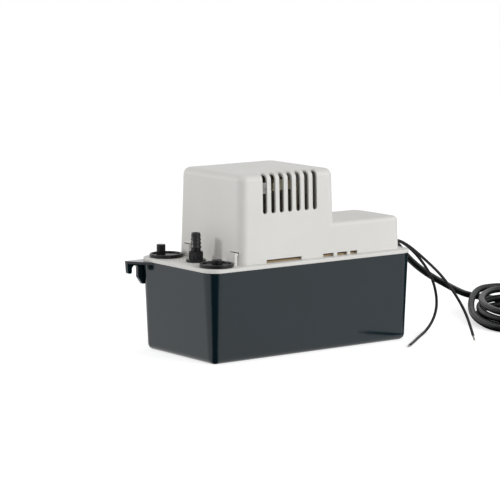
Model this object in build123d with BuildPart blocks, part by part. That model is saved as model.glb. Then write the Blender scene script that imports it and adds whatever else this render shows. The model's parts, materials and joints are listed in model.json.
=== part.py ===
from build123d import *
from math import cos, pi, radians, sin, tan
import os

# Condensate pump: a drafted tank with a float in it, a deck that closes the tank and carries the
# motor, the pump that hangs below it, the switches and the check valve, and a vented motor cover.
# Millimetres. X runs along the tank, the vented face looks towards -Y, and Z = 0 is the tank's foot.

# --- Tank ---
tank_height = 88.3
tank_rim_length = 248.4
tank_rim_width = 123.0
tank_taper_x = 4.7
tank_taper_y = 4.05
tank_foot_length = tank_rim_length - 2 * tank_taper_x
tank_foot_width = tank_rim_width - 2 * tank_taper_y
tank_end_x = tank_rim_length / 2
tank_side_y = tank_rim_width / 2
tank_foot_corner = 8.0
tank_rim_corner = 14.0
tank_wall = 2.6
tank_foot_round = 6.0

# --- Hanging ears at both ends of the tank's back ---
ear_reach = 15.7
ear_slot_reach = 6.4
ear_slot_drop = 4.7
ear_lobe_drop = 12.7
ear_step_drop = 16.8
ear_foot_drop = 23.8
ear_foot_lead = 2.5
ear_tip_draft = 1.0
ear_tip_x = tank_end_x + ear_reach
ear_thickness = 4.0
ear_slot_x = tank_end_x + ear_slot_reach
ear_slot_width = 7.2
ear_slot_top_z = tank_height - ear_slot_drop
ear_lobe_bottom_z = tank_height - ear_lobe_drop
ear_step_z = tank_height - ear_step_drop
ear_foot_z = tank_height - ear_foot_drop
ear_gusset_depth = 28.5
ear_gusset_thickness = 2.5
ear_lobe_round = 1.9

# --- Deck ---
deck_thickness = 3.4
deck_overhang = 0.6
deck_length = tank_rim_length + 2 * deck_overhang
deck_width = tank_rim_width + 2 * deck_overhang
deck_corner = tank_rim_corner + deck_overhang
deck_edge_round = 1.0
skirt_depth = 8.3
skirt_wall = 2.0
skirt_gap = 0.4
deck_z = tank_height + deck_thickness

# --- Inlets ---
inlet_radius = 14.3
inlet_inset_x = 19.8
inlet_inset_y = 19.5
inlet_x = tank_end_x - inlet_inset_x
inlet_y = tank_side_y - inlet_inset_y
plug_clearance = 0.1
plug_flange_radius = 16.3
plug_flange_thickness = 1.8
plug_rim_height = 1.7
plug_rim_width = 2.1
plug_skirt_depth = 9.0
plug_wall = 1.8
stub_edge_round = 0.8
rear_stub_radius = 4.4
rear_stub_height = 10.3
rear_stub_offset = (-3.0, 4.5)
front_stub_radius = 4.9
front_stub_height = 5.5
front_stub_offset = (-1.0, -2.4)

# --- Motor cover ---
cover_wall = 2.2
cut_past = 0.5
cover_corner = 8.8
cover_draft = 0.0243
motor_from_end = 80.2
motor_x = -tank_end_x + motor_from_end
motor_y = 0.0
tall_left_reach = 40.0
tall_right_reach = 77.0
tall_front_inset = 8.1
tall_back_inset = 9.7
tall_rise = 86.3
low_right_inset = 9.4
low_back_y = 17.9
low_rise = 33.0
tall_left_x = motor_x - tall_left_reach
tall_right_x = motor_x + tall_right_reach
tall_front_y = -tank_side_y + tall_front_inset
tall_back_y = tank_side_y - tall_back_inset
tall_top_z = deck_z + tall_rise
low_right_x = tank_end_x - low_right_inset
low_top_z = deck_z + low_rise
low_overlap = 26.0
tall_top_round = 7.0
low_top_round = 4.0
vent_count = 7
vent_pitch = 10.05
vent_width = 5.3
vent_centre_shift = 20.0
vent_centre_x = motor_x + vent_centre_shift
vent_drop = 38.8
vent_bottom_z = tall_top_z - vent_drop
vent_reach_over_top = 7.4
foot_vent_height = 3.2
foot_vents = ((-53.2, -10.8), (15.6, 28.7), (33.1, 45.6), (49.4, 58.2))

# --- Snap posts that hold the cover ---
latch_width = 12.0
latch_height = 11.8
latch_foot_thickness = 3.4
latch_top_thickness = 2.8
latch_nose = 1.5
latch_nose_height = 2.2
latch_nose_land = 0.4
latch_gap = 0.35
latch_side_gap = 0.4
latch_window_height = 3.4
latch_front_inset = 11.4
latch_back_inset = 17.8
latch_left_y = (tall_front_y + latch_front_inset, tall_back_y - latch_back_inset)
latch_right_y = (-18.0,)

# --- Fibre mat under the cover ---
mat_thickness = 1.5
mat_margin = 0.8
mat_z = deck_z + mat_thickness

# --- Motor ---
shaft_radius = 3.175
shaft_bottom_z = 19.0
stack_drop = 47.0
stack_bottom_z = tall_top_z - stack_drop
stack_height = 25.0
stack_half_width = 33.0
stack_corner_cut = 5.0
stack_left_reach = 28.0
stack_block_right_reach = 24.0
yoke_width = 13.0
leg_reach = 40.0
leg_x = motor_x + leg_reach
leg_width = 12.0
bore_radius = 16.9
pole_notch_radius = 4.0
rotor_air_gap = 0.4
rotor_ring_height = 3.0
winding_build = 10.0
bobbin_wall = 1.2
bobbin_flange = 1.6
bobbin_gap = 0.15
coil_length = 33.0
coil_corner = 6.0
shading_wire_radius = 1.3
shading_places = ((-20.5, -9.0), (-20.5, 4.0), (20.5, -4.0), (20.5, 9.0))
shading_lift = 2.2
shading_gap = 0.15
stack_top_z = stack_bottom_z + stack_height

# --- Motor brackets and bearings ---
strap_thickness = 2.5
strap_pad_inner = 21.0
strap_rise = 8.0
upper_strap_width = 24.0
lower_strap_width = 30.0
foot_reach = 45.0
leg_window_width = 18.0
leg_window_height = 22.0
leg_window_corner = 4.0
foot_screw_y = 40.0
foot_screw_x = 8.5
stack_screw_y = 27.6
stack_screw_radius = 2.0
hub_radius = 9.5
hub_height = 8.5
bearing_outer_radius = 7.0
bearing_length = 8.0
bearing_clearance = 0.03
bearing_chamfer = 0.5
shaft_chamfer = 0.5
stack_nut_height = 3.2
screw_clearance = 0.15
foot_screw_radius = 1.75
foot_screw_length = 9.0
screw_head_radius = 3.6
screw_head_height = 2.4
boss_radius = 4.5
boss_depth = 4.5

# --- Slinger and cooling fan ---
fan_radius = 28.0
fan_hub_drop = 1.0
fan_bearing_gap = 1.5
fan_slinger_gap = 0.2
fan_plate = 1.6
fan_blade = 1.4
fan_blades = 9
fan_hub_radius = 7.0
blade_root_sink = 1.0
fan_blade_lean = 22.0
slinger_lift = 2.2
slinger_radius = 11.0
slinger_thickness = 2.2
shaft_hole_radius = 9.0

# --- Pump head below the deck ---
column_outer_radius = 16.0
column_wall = 2.4
column_flange_radius = 26.0
column_flange_thickness = 3.0
column_window_height = 22.0
column_window_width = 12.0
column_screw_circle = 21.5
volute_top_z = 37.0
volute_roof = 2.5
volute_wall = 2.4
volute_bottom_z = 18.0
scroll_radius = 24.5
scroll_step = 2.3
outlet_radius = 2 * scroll_step
outlet_step = 0.4
outlet_z = 27.0
outlet_reach = 42.0
outlet_end_x = motor_x - outlet_reach
hose_bore_radius = 5.0
hose_spigot_wall = 1.6
cover_plate_thickness = 3.0
suction_radius = 10.0
suction_foot_height = 7.0
suction_foot_radius = 3.0
suction_bar = 1.6
plate_boss_radius = 3.4
screw_head_margin = 0.5
plate_boss_angles = (200, 290, 390)
plate_screw_length = 12.0
impeller_radius = 22.0
impeller_plate = 2.0
impeller_hub_radius = 6.5
impeller_vane = 1.8
impeller_vanes = 6
impeller_sweep = 20.0
impeller_bottom_z = 19.5
impeller_top_z = 33.0
shaft_seal_clearance = 0.6

# --- Discharge tube and check valve ---
valve_reach = 57.0
valve_x = motor_x - valve_reach
valve_y = -3.5
hose_clearance = 0.05
hose_wall = 1.6
hose_bend = 11.0
hose_grip = 11.0
hose_rise_z = 42.0
clip_width = 6.0
clip_thickness = 0.8
clip_ear = 5.0
valve_flange_radius = 9.7
seal_inset = 0.4
seat_inset = 0.3
nut_rim = 1.5
nut_rim_height = 1.2
valve_flange_thickness = 1.5
valve_body_radius = 6.9
valve_body_rise = 8.0
valve_body_top_z = deck_z + valve_body_rise
valve_chamber_radius = 4.9
valve_depth = 13.7
valve_shoulder_rise = 3.3
valve_bottom_z = deck_z - valve_depth
valve_shoulder_z = deck_z + valve_shoulder_rise
valve_bore = 2.9
neck_radius = 4.75
valve_seal_thickness = 1.0
valve_hex_radius = 7.6
valve_hex_height = 7.5
barb_count = 4
barb_pitch = 3.6
barb_root_radius = 4.2
barb_first_radius = 5.5
barb_last_radius = 4.75
valve_tip_rise = 28.3
valve_tip_z = deck_z + valve_tip_rise
valve_nut_height = 5.0
valve_nut_across = 19.0
valve_thread_clearance = 0.1
seat_plug_height = 3.0
seat_flange_height = 2.5
poppet_radius = 4.3
poppet_thickness = 1.8
poppet_stem_radius = 1.4
poppet_stem_length = 6.0
poppet_rest_gap = 0.1
spring_radius = 3.2
spring_wire = 0.35
spring_end_gap = 0.1
spring_turns = 5

# --- Float and its arm ---
pivot_inset = 16.2
pivot_drop = 12.3
pivot_x = tank_end_x - pivot_inset
pivot_y = -18.0
pivot_z = tank_height - pivot_drop
pivot_radius = 1.5
pivot_clearance = 0.06
lug_thickness = 3.0
lug_half_width = 5.5
arm_width = 6.0
arm_side_gap = 0.4
arm_hub_radius = 4.5
arm_pad_height = 2.0
arm_pad_reach = 16.0
arm_pad_left_x = pivot_x - arm_pad_reach
arm_stop_reach = 3.6
arm_stop_x = pivot_x + arm_stop_reach
arm_stop_width = 4.0
float_reach = 58.0
float_centre_x = pivot_x - float_reach
float_length = 56.0
float_width = 70.0
float_bottom_z = 15.0
float_height = 25.0
float_round = 5.0
arm_plate_length = 26.0
arm_plate_width = 30.0
arm_plate_thickness = 2.5

# --- Push rod ---
rod_reach = 12.0
rod_x = pivot_x - rod_reach
rod_radius = 2.0
rod_clearance = 0.06
rod_gap = 0.3
rod_head_length = 8.0
rod_head_width = 20.0
rod_slot_clearance = 1.5
rod_head_corner = 1.5
rod_head_thickness = 2.0
rod_head_rise = 5.4
rod_head_top_z = deck_z + rod_head_rise
rod_guide_radius = 4.5
rod_guide_depth = 2.3

# --- Switches ---
switch_length = 27.8
switch_thickness = 10.3
switch_height = 15.9
switch_reach = 28.0
switch_rise = 12.3
switch_left_x = rod_x - switch_reach
switch_bottom_z = deck_z + switch_rise
switch_plate_thickness = 1.8
switch_plate_gap = 0.05
lever_pivot_inset = 2.0
lever_pivot_drop = 1.6
lever_length = 27.0
lever_width = 5.0
lever_thickness = 0.5
lever_angle = 10.2
lever_pin_radius = 0.6
lever_pin_clearance = 0.06
lever_eye_radius = 1.2
lever_cheek = 1.0
lever_cheek_radius = 1.5
lever_gap = 0.15
plunger_inset = 10.0
plunger_radius = 1.5
plunger_length = 5.0
plunger_clearance = 0.1
plunger_room = 2.5
switch_screw_radius = 1.45
switch_screw_insets = (3.4, 24.2)
switch_screw_lifts = (12.4, 4.0)
switch_head_radius = 2.6
switch_nut = 2.0
switch_corner = 1.0
terminal_width = 4.8
terminal_thickness = 0.8
terminal_length = 7.0
plate_margin = 2.0
plate_foot_length = 24.6
plate_above_switch = 1.1
plate_flange_depth = 14.0
plate_screw_insets = (4.0, 20.0)
plate_screw_set_back = 1.5

# --- Power cord, plug and safety switch leads ---
cord_radius = 3.5
cord_exit_y = 4.0
cord_exit_rise = 9.3
cord_exit_z = deck_z + cord_exit_rise
cord_inside = 4.8
cord_start_x = low_right_x - cord_inside
relief_flange_radius = 7.4
relief_wall_gap = 0.6
relief_flange_round = 0.8
relief_flange_thickness = 2.0
relief_length = 21.0
relief_flare = 0.4
relief_root_radius = 5.4
relief_tip_radius = 4.3
lead_radius = 1.45
lead_exit_y = -37.0
lead_exit_rise = 7.3
lead_exit_z = deck_z + lead_exit_rise
lead_spacing = 3.1
grommet_radius = 5.2
grommet_groove = 1.4
grommet_lip = 1.6
wire_tip_radius = 0.9
wire_tip_length = 7.0
power_cord_points = (
    (cord_start_x, cord_exit_y, cord_exit_z),
    (142.0, cord_exit_y, cord_exit_z),
    (158.5, 4.2, 83.5),
    (175.0, 6.0, 69.0),
    (193.0, 10.0, 57.0),
    (213.5, 16.0, 46.3),
    (240.0, 24.0, 34.5),
    (265.0, 33.0, 24.0),
    (289.0, 42.5, 15.7),
)
lead_one_points = (
    (cord_start_x, lead_exit_y + lead_spacing / 2, lead_exit_z),
    (121.5, lead_exit_y + lead_spacing / 2, lead_exit_z),
    (135.5, -35.9, 92.0),
    (148.0, -36.5, 81.6),
    (158.5, -37.0, 70.2),
    (167.0, -37.0, 58.8),
    (173.0, -37.0, 46.0),
    (175.8, -37.2, 33.0),
    (174.5, -38.0, 21.0),
    (167.5, -39.8, 10.0),
    (156.0, -43.5, 2.6),
    (141.5, -53.5, 1.6),
    (126.0, -66.0, 1.6),
    (110.0, -79.5, 1.6),
    (94.0, -92.0, 1.6),
)
lead_two_points = (
    (cord_start_x, lead_exit_y - lead_spacing / 2, lead_exit_z),
    (121.5, lead_exit_y - lead_spacing / 2, lead_exit_z),
    (136.0, -39.0, 91.6),
    (150.0, -40.0, 81.0),
    (162.0, -42.3, 70.6),
    (172.5, -46.4, 59.6),
    (179.3, -52.5, 48.0),
    (182.4, -61.0, 37.0),
    (181.0, -74.0, 25.5),
    (174.5, -89.5, 14.5),
    (166.0, -104.5, 5.4),
)
coil_centre = (284.0, -34.0)
coil_heading = 53.0
coil_long = 88.0
coil_short = 42.0
coil_ring = 26.0
coil_thickness = 30.0
cord_tail_points = (
    (331.0, -24.0, 18.0),
    (341.0, -43.0, 11.0),
    (349.0, -65.0, 5.5),
    (355.0, -88.0, 5.0),
    (359.0, -110.0, 10.8),
    (362.0, -130.0, 10.8),
)
plug_neck_radius = 5.0
plug_neck_length = 8.0
plug_width = 27.0
plug_thickness = 21.0
plug_corner = 4.0
plug_body_length = 26.0
blade_spacing = 12.7
blade_width = 6.3
blade_thickness = 1.5
blade_length = 17.5
blade_shift = 4.5
ground_drop = 11.9
ground_radius = 2.4

# --- Values worked out from the sizes above ---
tall_box = (tall_left_x, tall_right_x, tall_front_y, tall_back_y)
low_box = (tall_right_x - low_overlap, low_right_x, tall_front_y, low_back_y)
inlet_places = ((-inlet_x, inlet_y), (-inlet_x, -inlet_y), (inlet_x, inlet_y))
foot_screw_places = [
    (motor_x + x, motor_y + y) for x in (-foot_screw_x, foot_screw_x) for y in (-foot_screw_y, foot_screw_y)
]
column_screw_places = [
    (motor_x + column_screw_circle * cos(radians(a)), motor_y + column_screw_circle * sin(radians(a)))
    for a in (90, 210, 330)
]
plate_y = pivot_y
plate_left_x = switch_left_x - plate_margin
flange_screw_y = plate_y + plate_flange_depth / 2 + plate_screw_set_back
flange_screw_places = [(plate_left_x + inset, flange_screw_y) for inset in plate_screw_insets]
on_end = (Align.CENTER, Align.CENTER, Align.MIN)
made = []


def keep(piece, label):
    """Name a finished piece and put it on the list of pieces to write."""
    piece.part.label = label
    made.append(piece)


def rod_between(radius, low_z, high_z, mode=Mode.ADD):
    """An upright cylinder from one level to another, at the current location."""
    with Locations((0, 0, low_z)):
        Cylinder(radius, high_z - low_z, align=on_end, mode=mode)


def screw_down(head_z, length, head_radius=screw_head_radius, radius=foot_screw_radius):
    """A pan-head screw whose head sits on the level head_z and whose shank points down."""
    rod_between(head_radius, head_z, head_z + screw_head_height)
    rod_between(radius, head_z - length, head_z)


def tank_section(height, inset):
    """The tank's wall in plan at a height, moved in by inset: a rounded rectangle that widens upwards."""
    share = height / tank_height
    length = tank_foot_length + share * (tank_rim_length - tank_foot_length)
    width = tank_foot_width + share * (tank_rim_width - tank_foot_width)
    corner = tank_foot_corner + share * (tank_rim_corner - tank_foot_corner)
    RectangleRounded(length - 2 * inset, width - 2 * inset, corner - inset)


def cover_section(box, height, inset):
    """One box of the motor cover in plan at a height, drafted inwards going up and moved in by inset."""
    left, right, front, back = box
    shift = inset + cover_draft * (height - deck_z)
    with Locations(((left + right) / 2, (front + back) / 2)):
        RectangleRounded(right - left - 2 * shift, back - front - 2 * shift, cover_corner - inset)


# ---------------------------------------------------------------- tank
tank_back_y = tank_rim_width / 2
ear_root_x = tank_rim_length / 2 - tank_rim_corner + tank_wall
ear_slot_radius = ear_slot_width / 2
with BuildPart() as tank:
    for level in (0, tank_height):
        with BuildSketch(Plane.XY.offset(level)):
            tank_section(level, 0)
    loft()
    fillet(tank.faces().sort_by(Axis.Z)[0].edges(), tank_foot_round)
    # The ears: a plate with an open slot, in the plane of the tank's back, at both ends.
    with BuildSketch(Plane.XZ.offset(-tank_back_y)) as ear:
        Polygon(
            (ear_root_x, tank_height),
            (ear_tip_x, tank_height),
            (ear_tip_x - ear_tip_draft, ear_lobe_bottom_z),
            (ear_slot_x - ear_slot_radius, ear_lobe_bottom_z),
            (ear_slot_x - ear_slot_radius, ear_step_z),
            (tank_foot_length / 2 + ear_foot_lead, ear_foot_z),
            (ear_root_x, ear_foot_z),
            align=None,
        )
        with Locations((ear_slot_x, ear_slot_top_z - ear_slot_radius)):
            Circle(ear_slot_radius, mode=Mode.SUBTRACT)
            Rectangle(ear_slot_width, ear_slot_top_z, align=(Align.CENTER, Align.MAX), mode=Mode.SUBTRACT)
        lobe_corners = ear.vertices().filter_by_position(Axis.Y, ear_step_z,
                                                         (ear_lobe_bottom_z + ear_slot_top_z) / 2)
        fillet(lobe_corners.filter_by_position(Axis.X, ear_slot_x, 2 * ear_tip_x), ear_lobe_round)
        mirror(about=Plane.YZ)
    extrude(amount=ear_thickness)
    # A gusset at the rim carries each ear forward to the tank's end wall.
    with BuildSketch(Plane.XY.offset(tank_height)):
        Polygon(
            (ear_root_x, tank_back_y),
            (ear_tip_x, tank_back_y),
            (ear_tip_x, tank_back_y - ear_thickness),
            (tank_rim_length / 2 - 1, tank_back_y - ear_gusset_depth),
            (ear_root_x, tank_back_y - ear_gusset_depth),
            align=None,
        )
        mirror(about=Plane.YZ)
    extrude(amount=-ear_gusset_thickness)
    for level in (tank_wall, tank_height):
        with BuildSketch(Plane.XY.offset(level)):
            tank_section(level, tank_wall)
    loft(mode=Mode.SUBTRACT)
    inner_foot = tank.edges().filter_by_position(Axis.Z, tank_wall - 0.01, tank_wall + 0.01)
    fillet(inner_foot, tank_foot_round - tank_wall)
keep(tank, "tank")

# ---------------------------------------------------------------- deck
latch_profile = (
    (-latch_gap - latch_foot_thickness, 0),
    (-latch_gap, 0),
    (-latch_gap, latch_height - latch_nose_height - latch_nose_land),
    (latch_nose, latch_height - latch_nose_height),
    (latch_nose, latch_height - latch_nose_height / 2),
    (-latch_gap, latch_height),
    (-latch_gap - latch_top_thickness, latch_height),
)
latch_walls = ((tall_left_x, 1, latch_left_y), (low_right_x, -1, latch_right_y))
lug_offset = arm_width / 2 + arm_side_gap + lug_thickness / 2
with BuildPart() as deck:
    with BuildSketch(Plane.XY.offset(tank_height)):
        RectangleRounded(deck_length, deck_width, deck_corner)
    extrude(amount=deck_thickness)
    fillet(deck.faces().sort_by(Axis.Z)[-1].edges(), deck_edge_round)
    # The skirt that centres the deck inside the tank's rim.
    skirt_inset = tank_wall + skirt_gap
    for inset, mode in ((skirt_inset, Mode.ADD), (skirt_inset + skirt_wall, Mode.SUBTRACT)):
        for level in (tank_height - skirt_depth, tank_height):
            with BuildSketch(Plane.XY.offset(level)):
                tank_section(level, inset)
        loft(mode=mode)
    # Snap posts outside the cover's two end walls, each with a nose for a window in the wall.
    for wall_x, inward, places in latch_walls:
        for place in places:
            with BuildSketch(Plane.XZ.offset(-place)):
                Polygon(*[(wall_x + inward * x, deck_z + z) for x, z in latch_profile], align=None)
            extrude(amount=latch_width / 2, both=True)
    # Bosses under the deck for the motor's feet, and a guide for the float's push rod.
    for places, radius, depth in (
        (foot_screw_places, boss_radius, boss_depth),
        ([(rod_x, pivot_y)], rod_guide_radius, rod_guide_depth),
    ):
        with BuildSketch(Plane.XY.offset(tank_height)):
            with Locations(*places):
                Circle(radius)
        extrude(amount=-depth)
    # Two lugs carry the float arm's pin.
    for side in (-1, 1):
        with BuildSketch(Plane.XZ.offset(-pivot_y - side * lug_offset)):
            with Locations((pivot_x, pivot_z)):
                Circle(lug_half_width)
                Rectangle(2 * lug_half_width, tank_height - pivot_z, align=(Align.CENTER, Align.MIN))
        extrude(amount=lug_thickness / 2, both=True)
    with Locations(Location((pivot_x, pivot_y, pivot_z), (90, 0, 0))):
        Cylinder(pivot_radius, 2 * lug_offset + lug_thickness, mode=Mode.SUBTRACT)
    # Holes through the deck and its bosses.
    for places, radius in (
        (inlet_places, inlet_radius),
        ([(motor_x, motor_y)], shaft_hole_radius),
        ([(valve_x, valve_y)], valve_body_radius + valve_thread_clearance),
        ([(rod_x, pivot_y)], rod_radius + rod_clearance),
        (foot_screw_places + column_screw_places + flange_screw_places, foot_screw_radius + screw_clearance),
    ):
        with BuildSketch(Plane.XY.offset(deck_z)):
            with Locations(*places):
                Circle(radius)
        extrude(amount=-deck_thickness - boss_depth, mode=Mode.SUBTRACT)
keep(deck, "deck")

# ---------------------------------------------------------------- fibre mat on the deck
with BuildPart() as deck_mat:
    with BuildSketch(Plane.XY.offset(deck_z)):
        cover_section(tall_box, deck_z, cover_wall + mat_margin)
        cover_section(low_box, deck_z, cover_wall + mat_margin)
        for places, radius in (
            ([(motor_x, motor_y)], column_flange_radius),
            ([(rod_x, pivot_y)], rod_head_width / 2 + rod_slot_clearance),
            (foot_screw_places + flange_screw_places, foot_screw_radius + screw_clearance),
        ):
            with Locations(*places):
                Circle(radius, mode=Mode.SUBTRACT)
    extrude(amount=mat_thickness)
keep(deck_mat, "deck_mat")

# ---------------------------------------------------------------- motor cover
vent_places = [vent_centre_x + vent_pitch * (i - (vent_count - 1) / 2) for i in range(vent_count)]
top_shift = cover_draft * (tall_top_z - deck_z)


def cover_block(box, top_z, top_round, inset):
    """One level of the cover as a drafted block with rounded top edges, drawn in by the inset."""
    with BuildPart() as block:
        for level in (deck_z, top_z - inset):
            with BuildSketch(Plane.XY.offset(level)):
                cover_section(box, level, inset)
        loft()
        fillet(block.faces().sort_by(Axis.Z)[-1].edges(), top_round - inset)
    return block.part


cover_levels = ((tall_box, tall_top_z, tall_top_round), (low_box, low_top_z, low_top_round))
outsides = [cover_block(*level, 0) for level in cover_levels]
insides = [cover_block(*level, cover_wall) for level in cover_levels]

with BuildPart() as motor_cover:
    add(outsides)
    add(insides, mode=Mode.SUBTRACT)
    # Vents in both long walls, which run up over the rounded edge into the top.
    for wall_y, inward in ((tall_front_y, 1), (tall_back_y, -1)):
        with BuildSketch(Plane.XZ.offset(-wall_y)):
            with Locations(*[(x, vent_bottom_z) for x in vent_places]):
                with Locations((0, vent_width / 2)):
                    Circle(vent_width / 2)
                    Rectangle(vent_width, tall_top_z - vent_bottom_z, align=(Align.CENTER, Align.MIN))
        extrude(amount=-inward * (top_shift + cover_wall + cut_past), mode=Mode.SUBTRACT)
        with BuildSketch(Plane.XY.offset(tall_top_z)):
            with Locations(*[(x, wall_y + inward * (top_shift + vent_reach_over_top)) for x in vent_places]):
                with Locations((0, -inward * vent_width / 2)):
                    Circle(vent_width / 2)
                    with Locations((0, -inward * vent_reach_over_top / 2)):
                        Rectangle(vent_width, vent_reach_over_top)
        extrude(amount=-tall_top_round - 1, mode=Mode.SUBTRACT)
    # Low vents along the foot of the front wall.
    with BuildSketch(Plane.XZ.offset(-tall_front_y)):
        for low_x, high_x in foot_vents:
            with Locations((low_x, deck_z)):
                Rectangle(high_x - low_x, foot_vent_height, align=Align.MIN)
    extrude(amount=-cover_corner, mode=Mode.SUBTRACT)
    # Windows for the snap posts' noses.
    for wall_x, inward, places in latch_walls:
        with BuildSketch(Plane.YZ.offset(wall_x - inward)):
            with Locations(*[(place, deck_z + latch_height - latch_nose_height / 2) for place in places]):
                Rectangle(latch_width + 2 * latch_side_gap, latch_window_height)
        extrude(amount=inward * (cover_wall + 2), mode=Mode.SUBTRACT)
    # Holes in the end wall for the power cord's strain relief and the leads' grommet.
    with BuildSketch(Plane.YZ.offset(low_right_x + 1)):
        with Locations((cord_exit_y, cord_exit_z)):
            Circle(relief_root_radius)
        with Locations((lead_exit_y, lead_exit_z)):
            Circle(grommet_radius - grommet_groove)
    extrude(amount=-2 * cover_wall - 1, mode=Mode.SUBTRACT)
keep(motor_cover, "motor_cover")

# ---------------------------------------------------------------- inlet plugs
plug_radius = inlet_radius - plug_clearance
for place, stub_offset, stub_radius, stub_height, label in (
    (inlet_places[0], rear_stub_offset, rear_stub_radius, rear_stub_height, "inlet_plug_rear"),
    (inlet_places[1], front_stub_offset, front_stub_radius, front_stub_height, "inlet_plug_front"),
):
    with BuildPart() as plug:
        with BuildSketch(Plane(origin=(*place, 0), x_dir=(1, 0, 0), z_dir=(0, -1, 0))) as half:
            flange_top = deck_z + plug_flange_thickness
            Polygon(
                (0, deck_z),
                (plug_radius - plug_wall, deck_z),
                (plug_radius - plug_wall, deck_z - plug_skirt_depth),
                (plug_radius, deck_z - plug_skirt_depth),
                (plug_radius, deck_z),
                (plug_flange_radius, deck_z),
                (plug_flange_radius, flange_top + plug_rim_height),
                (plug_flange_radius - plug_rim_width, flange_top + plug_rim_height),
                (plug_flange_radius - plug_rim_width, flange_top),
                (0, flange_top),
                align=None,
            )
            rim_corners = half.vertices().group_by(Axis.Y)[-1]
            fillet(rim_corners, plug_rim_width * 0.4)
        revolve(axis=Axis((*place, 0), (0, 0, 1)))
        with BuildSketch(Plane.XY.offset(deck_z)):
            with Locations((place[0] + stub_offset[0], place[1] + stub_offset[1])):
                Circle(stub_radius)
        extrude(amount=plug_flange_thickness + stub_height)
        fillet(plug.faces().sort_by(Axis.Z)[-1].edges(), stub_edge_round)
    keep(plug, label)

# ---------------------------------------------------------------- motor: laminations
block_left = motor_x - stack_left_reach
block_right = motor_x + stack_block_right_reach
leg_right = leg_x + leg_width / 2
window_half = stack_half_width - yoke_width
with BuildPart() as stator_stack:
    with BuildSketch(Plane.XY.offset(stack_bottom_z)) as lamination:
        with Locations(((block_left + leg_right) / 2, motor_y)):
            Rectangle(leg_right - block_left, 2 * stack_half_width)
        chamfer(lamination.vertices(), stack_corner_cut)
        # The window between the pole block and the coil's leg.
        with Locations(((block_right + leg_x - leg_width / 2) / 2, motor_y)):
            Rectangle(leg_x - leg_width / 2 - block_right, 2 * window_half, mode=Mode.SUBTRACT)
        with Locations((motor_x, motor_y)):
            Circle(bore_radius, mode=Mode.SUBTRACT)
            # Notches that part the two poles.
            with PolarLocations(bore_radius, 2, start_angle=90):
                Circle(pole_notch_radius, mode=Mode.SUBTRACT)
            with Locations((0, -stack_screw_y), (0, stack_screw_y)):
                Circle(stack_screw_radius + screw_clearance, mode=Mode.SUBTRACT)
            with Locations(*shading_places):
                Circle(shading_wire_radius + shading_gap, mode=Mode.SUBTRACT)
    extrude(amount=stack_height)
keep(stator_stack, "stator_stack")

with BuildPart() as shading_rings:
    for side in (-1, 1):
        legs = [(x, y) for x, y in shading_places if x * side > 0]
        for x, y in legs:
            with Locations((motor_x + x, motor_y + y)):
                rod_between(shading_wire_radius, stack_bottom_z - shading_lift, stack_top_z + shading_lift)
        for level in (stack_bottom_z - shading_lift, stack_top_z + shading_lift):
            with Locations((motor_x + legs[0][0], motor_y, level)):
                Box(2 * shading_wire_radius, legs[1][1] - legs[0][1], 2 * shading_wire_radius)
keep(shading_rings, "shading_rings")

# ---------------------------------------------------------------- motor: bobbin and coil
leg_hole_width = leg_width + 2 * bobbin_gap
leg_hole_height = stack_height + 2 * bobbin_gap
coil_width = leg_width + 2 * winding_build
coil_height = stack_height + 2 * winding_build
leg_plane = Plane.XZ.offset(-motor_y)
leg_middle = (leg_x, stack_bottom_z + stack_height / 2)
bobbin_length = coil_length + 2 * bobbin_flange
with BuildPart() as bobbin:
    with BuildSketch(leg_plane):
        with Locations(leg_middle):
            Rectangle(leg_hole_width + 2 * bobbin_wall, leg_hole_height + 2 * bobbin_wall)
    extrude(amount=bobbin_length / 2, both=True)
    for side in (-1, 1):
        with BuildSketch(leg_plane.offset(side * (coil_length + bobbin_flange) / 2)):
            with Locations(leg_middle):
                RectangleRounded(coil_width - 1, coil_height + 1, coil_corner)
        extrude(amount=bobbin_flange / 2, both=True)
    with BuildSketch(leg_plane):
        with Locations(leg_middle):
            Rectangle(leg_hole_width, leg_hole_height)
    extrude(amount=bobbin_length / 2, both=True, mode=Mode.SUBTRACT)
keep(bobbin, "bobbin")

with BuildPart() as coil:
    with BuildSketch(leg_plane):
        with Locations(leg_middle):
            RectangleRounded(coil_width, coil_height, coil_corner)
            Rectangle(
                leg_hole_width + 2 * bobbin_wall, leg_hole_height + 2 * bobbin_wall, mode=Mode.SUBTRACT
            )
    extrude(amount=coil_length / 2, both=True)
keep(coil, "coil")

# ---------------------------------------------------------------- motor: brackets, bearings and screws
strap_plane = Plane.YZ.offset(motor_x)
upper_top_z = stack_top_z + strap_rise
lower_pad_z = stack_bottom_z - strap_thickness
upper_strap_line = (
    (-stack_half_width, stack_top_z),
    (-strap_pad_inner, stack_top_z),
    (-strap_pad_inner, upper_top_z),
    (strap_pad_inner, upper_top_z),
    (strap_pad_inner, stack_top_z),
    (stack_half_width, stack_top_z),
)
lower_strap_z = stack_bottom_z - strap_rise
leg_out = stack_half_width + strap_thickness


def strap(points, width):
    """A bent strip along a line of points, as wide as width along X and as thick as the strap."""
    with BuildSketch(strap_plane) as side_view:
        with BuildLine():
            edge = Polyline(*points)
            offset(edge, amount=strap_thickness, side=Side.LEFT)
        make_face()
    extrude(side_view.sketch, amount=width / 2, both=True)


def bearing_hub(low_z):
    """The round hub that holds a bearing in the middle of a bracket, bored through."""
    with Locations((motor_x, motor_y)):
        rod_between(hub_radius, low_z, low_z + hub_height)
        rod_between(bearing_outer_radius, low_z - strap_thickness, low_z + hub_height + 1, Mode.SUBTRACT)


def through_holes(places, radius, low_z, high_z):
    """Round holes from one level to another."""
    with BuildSketch(Plane.XY.offset(low_z)) as holes:
        with Locations(*places):
            Circle(radius)
    extrude(holes.sketch, amount=high_z - low_z, mode=Mode.SUBTRACT)


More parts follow.
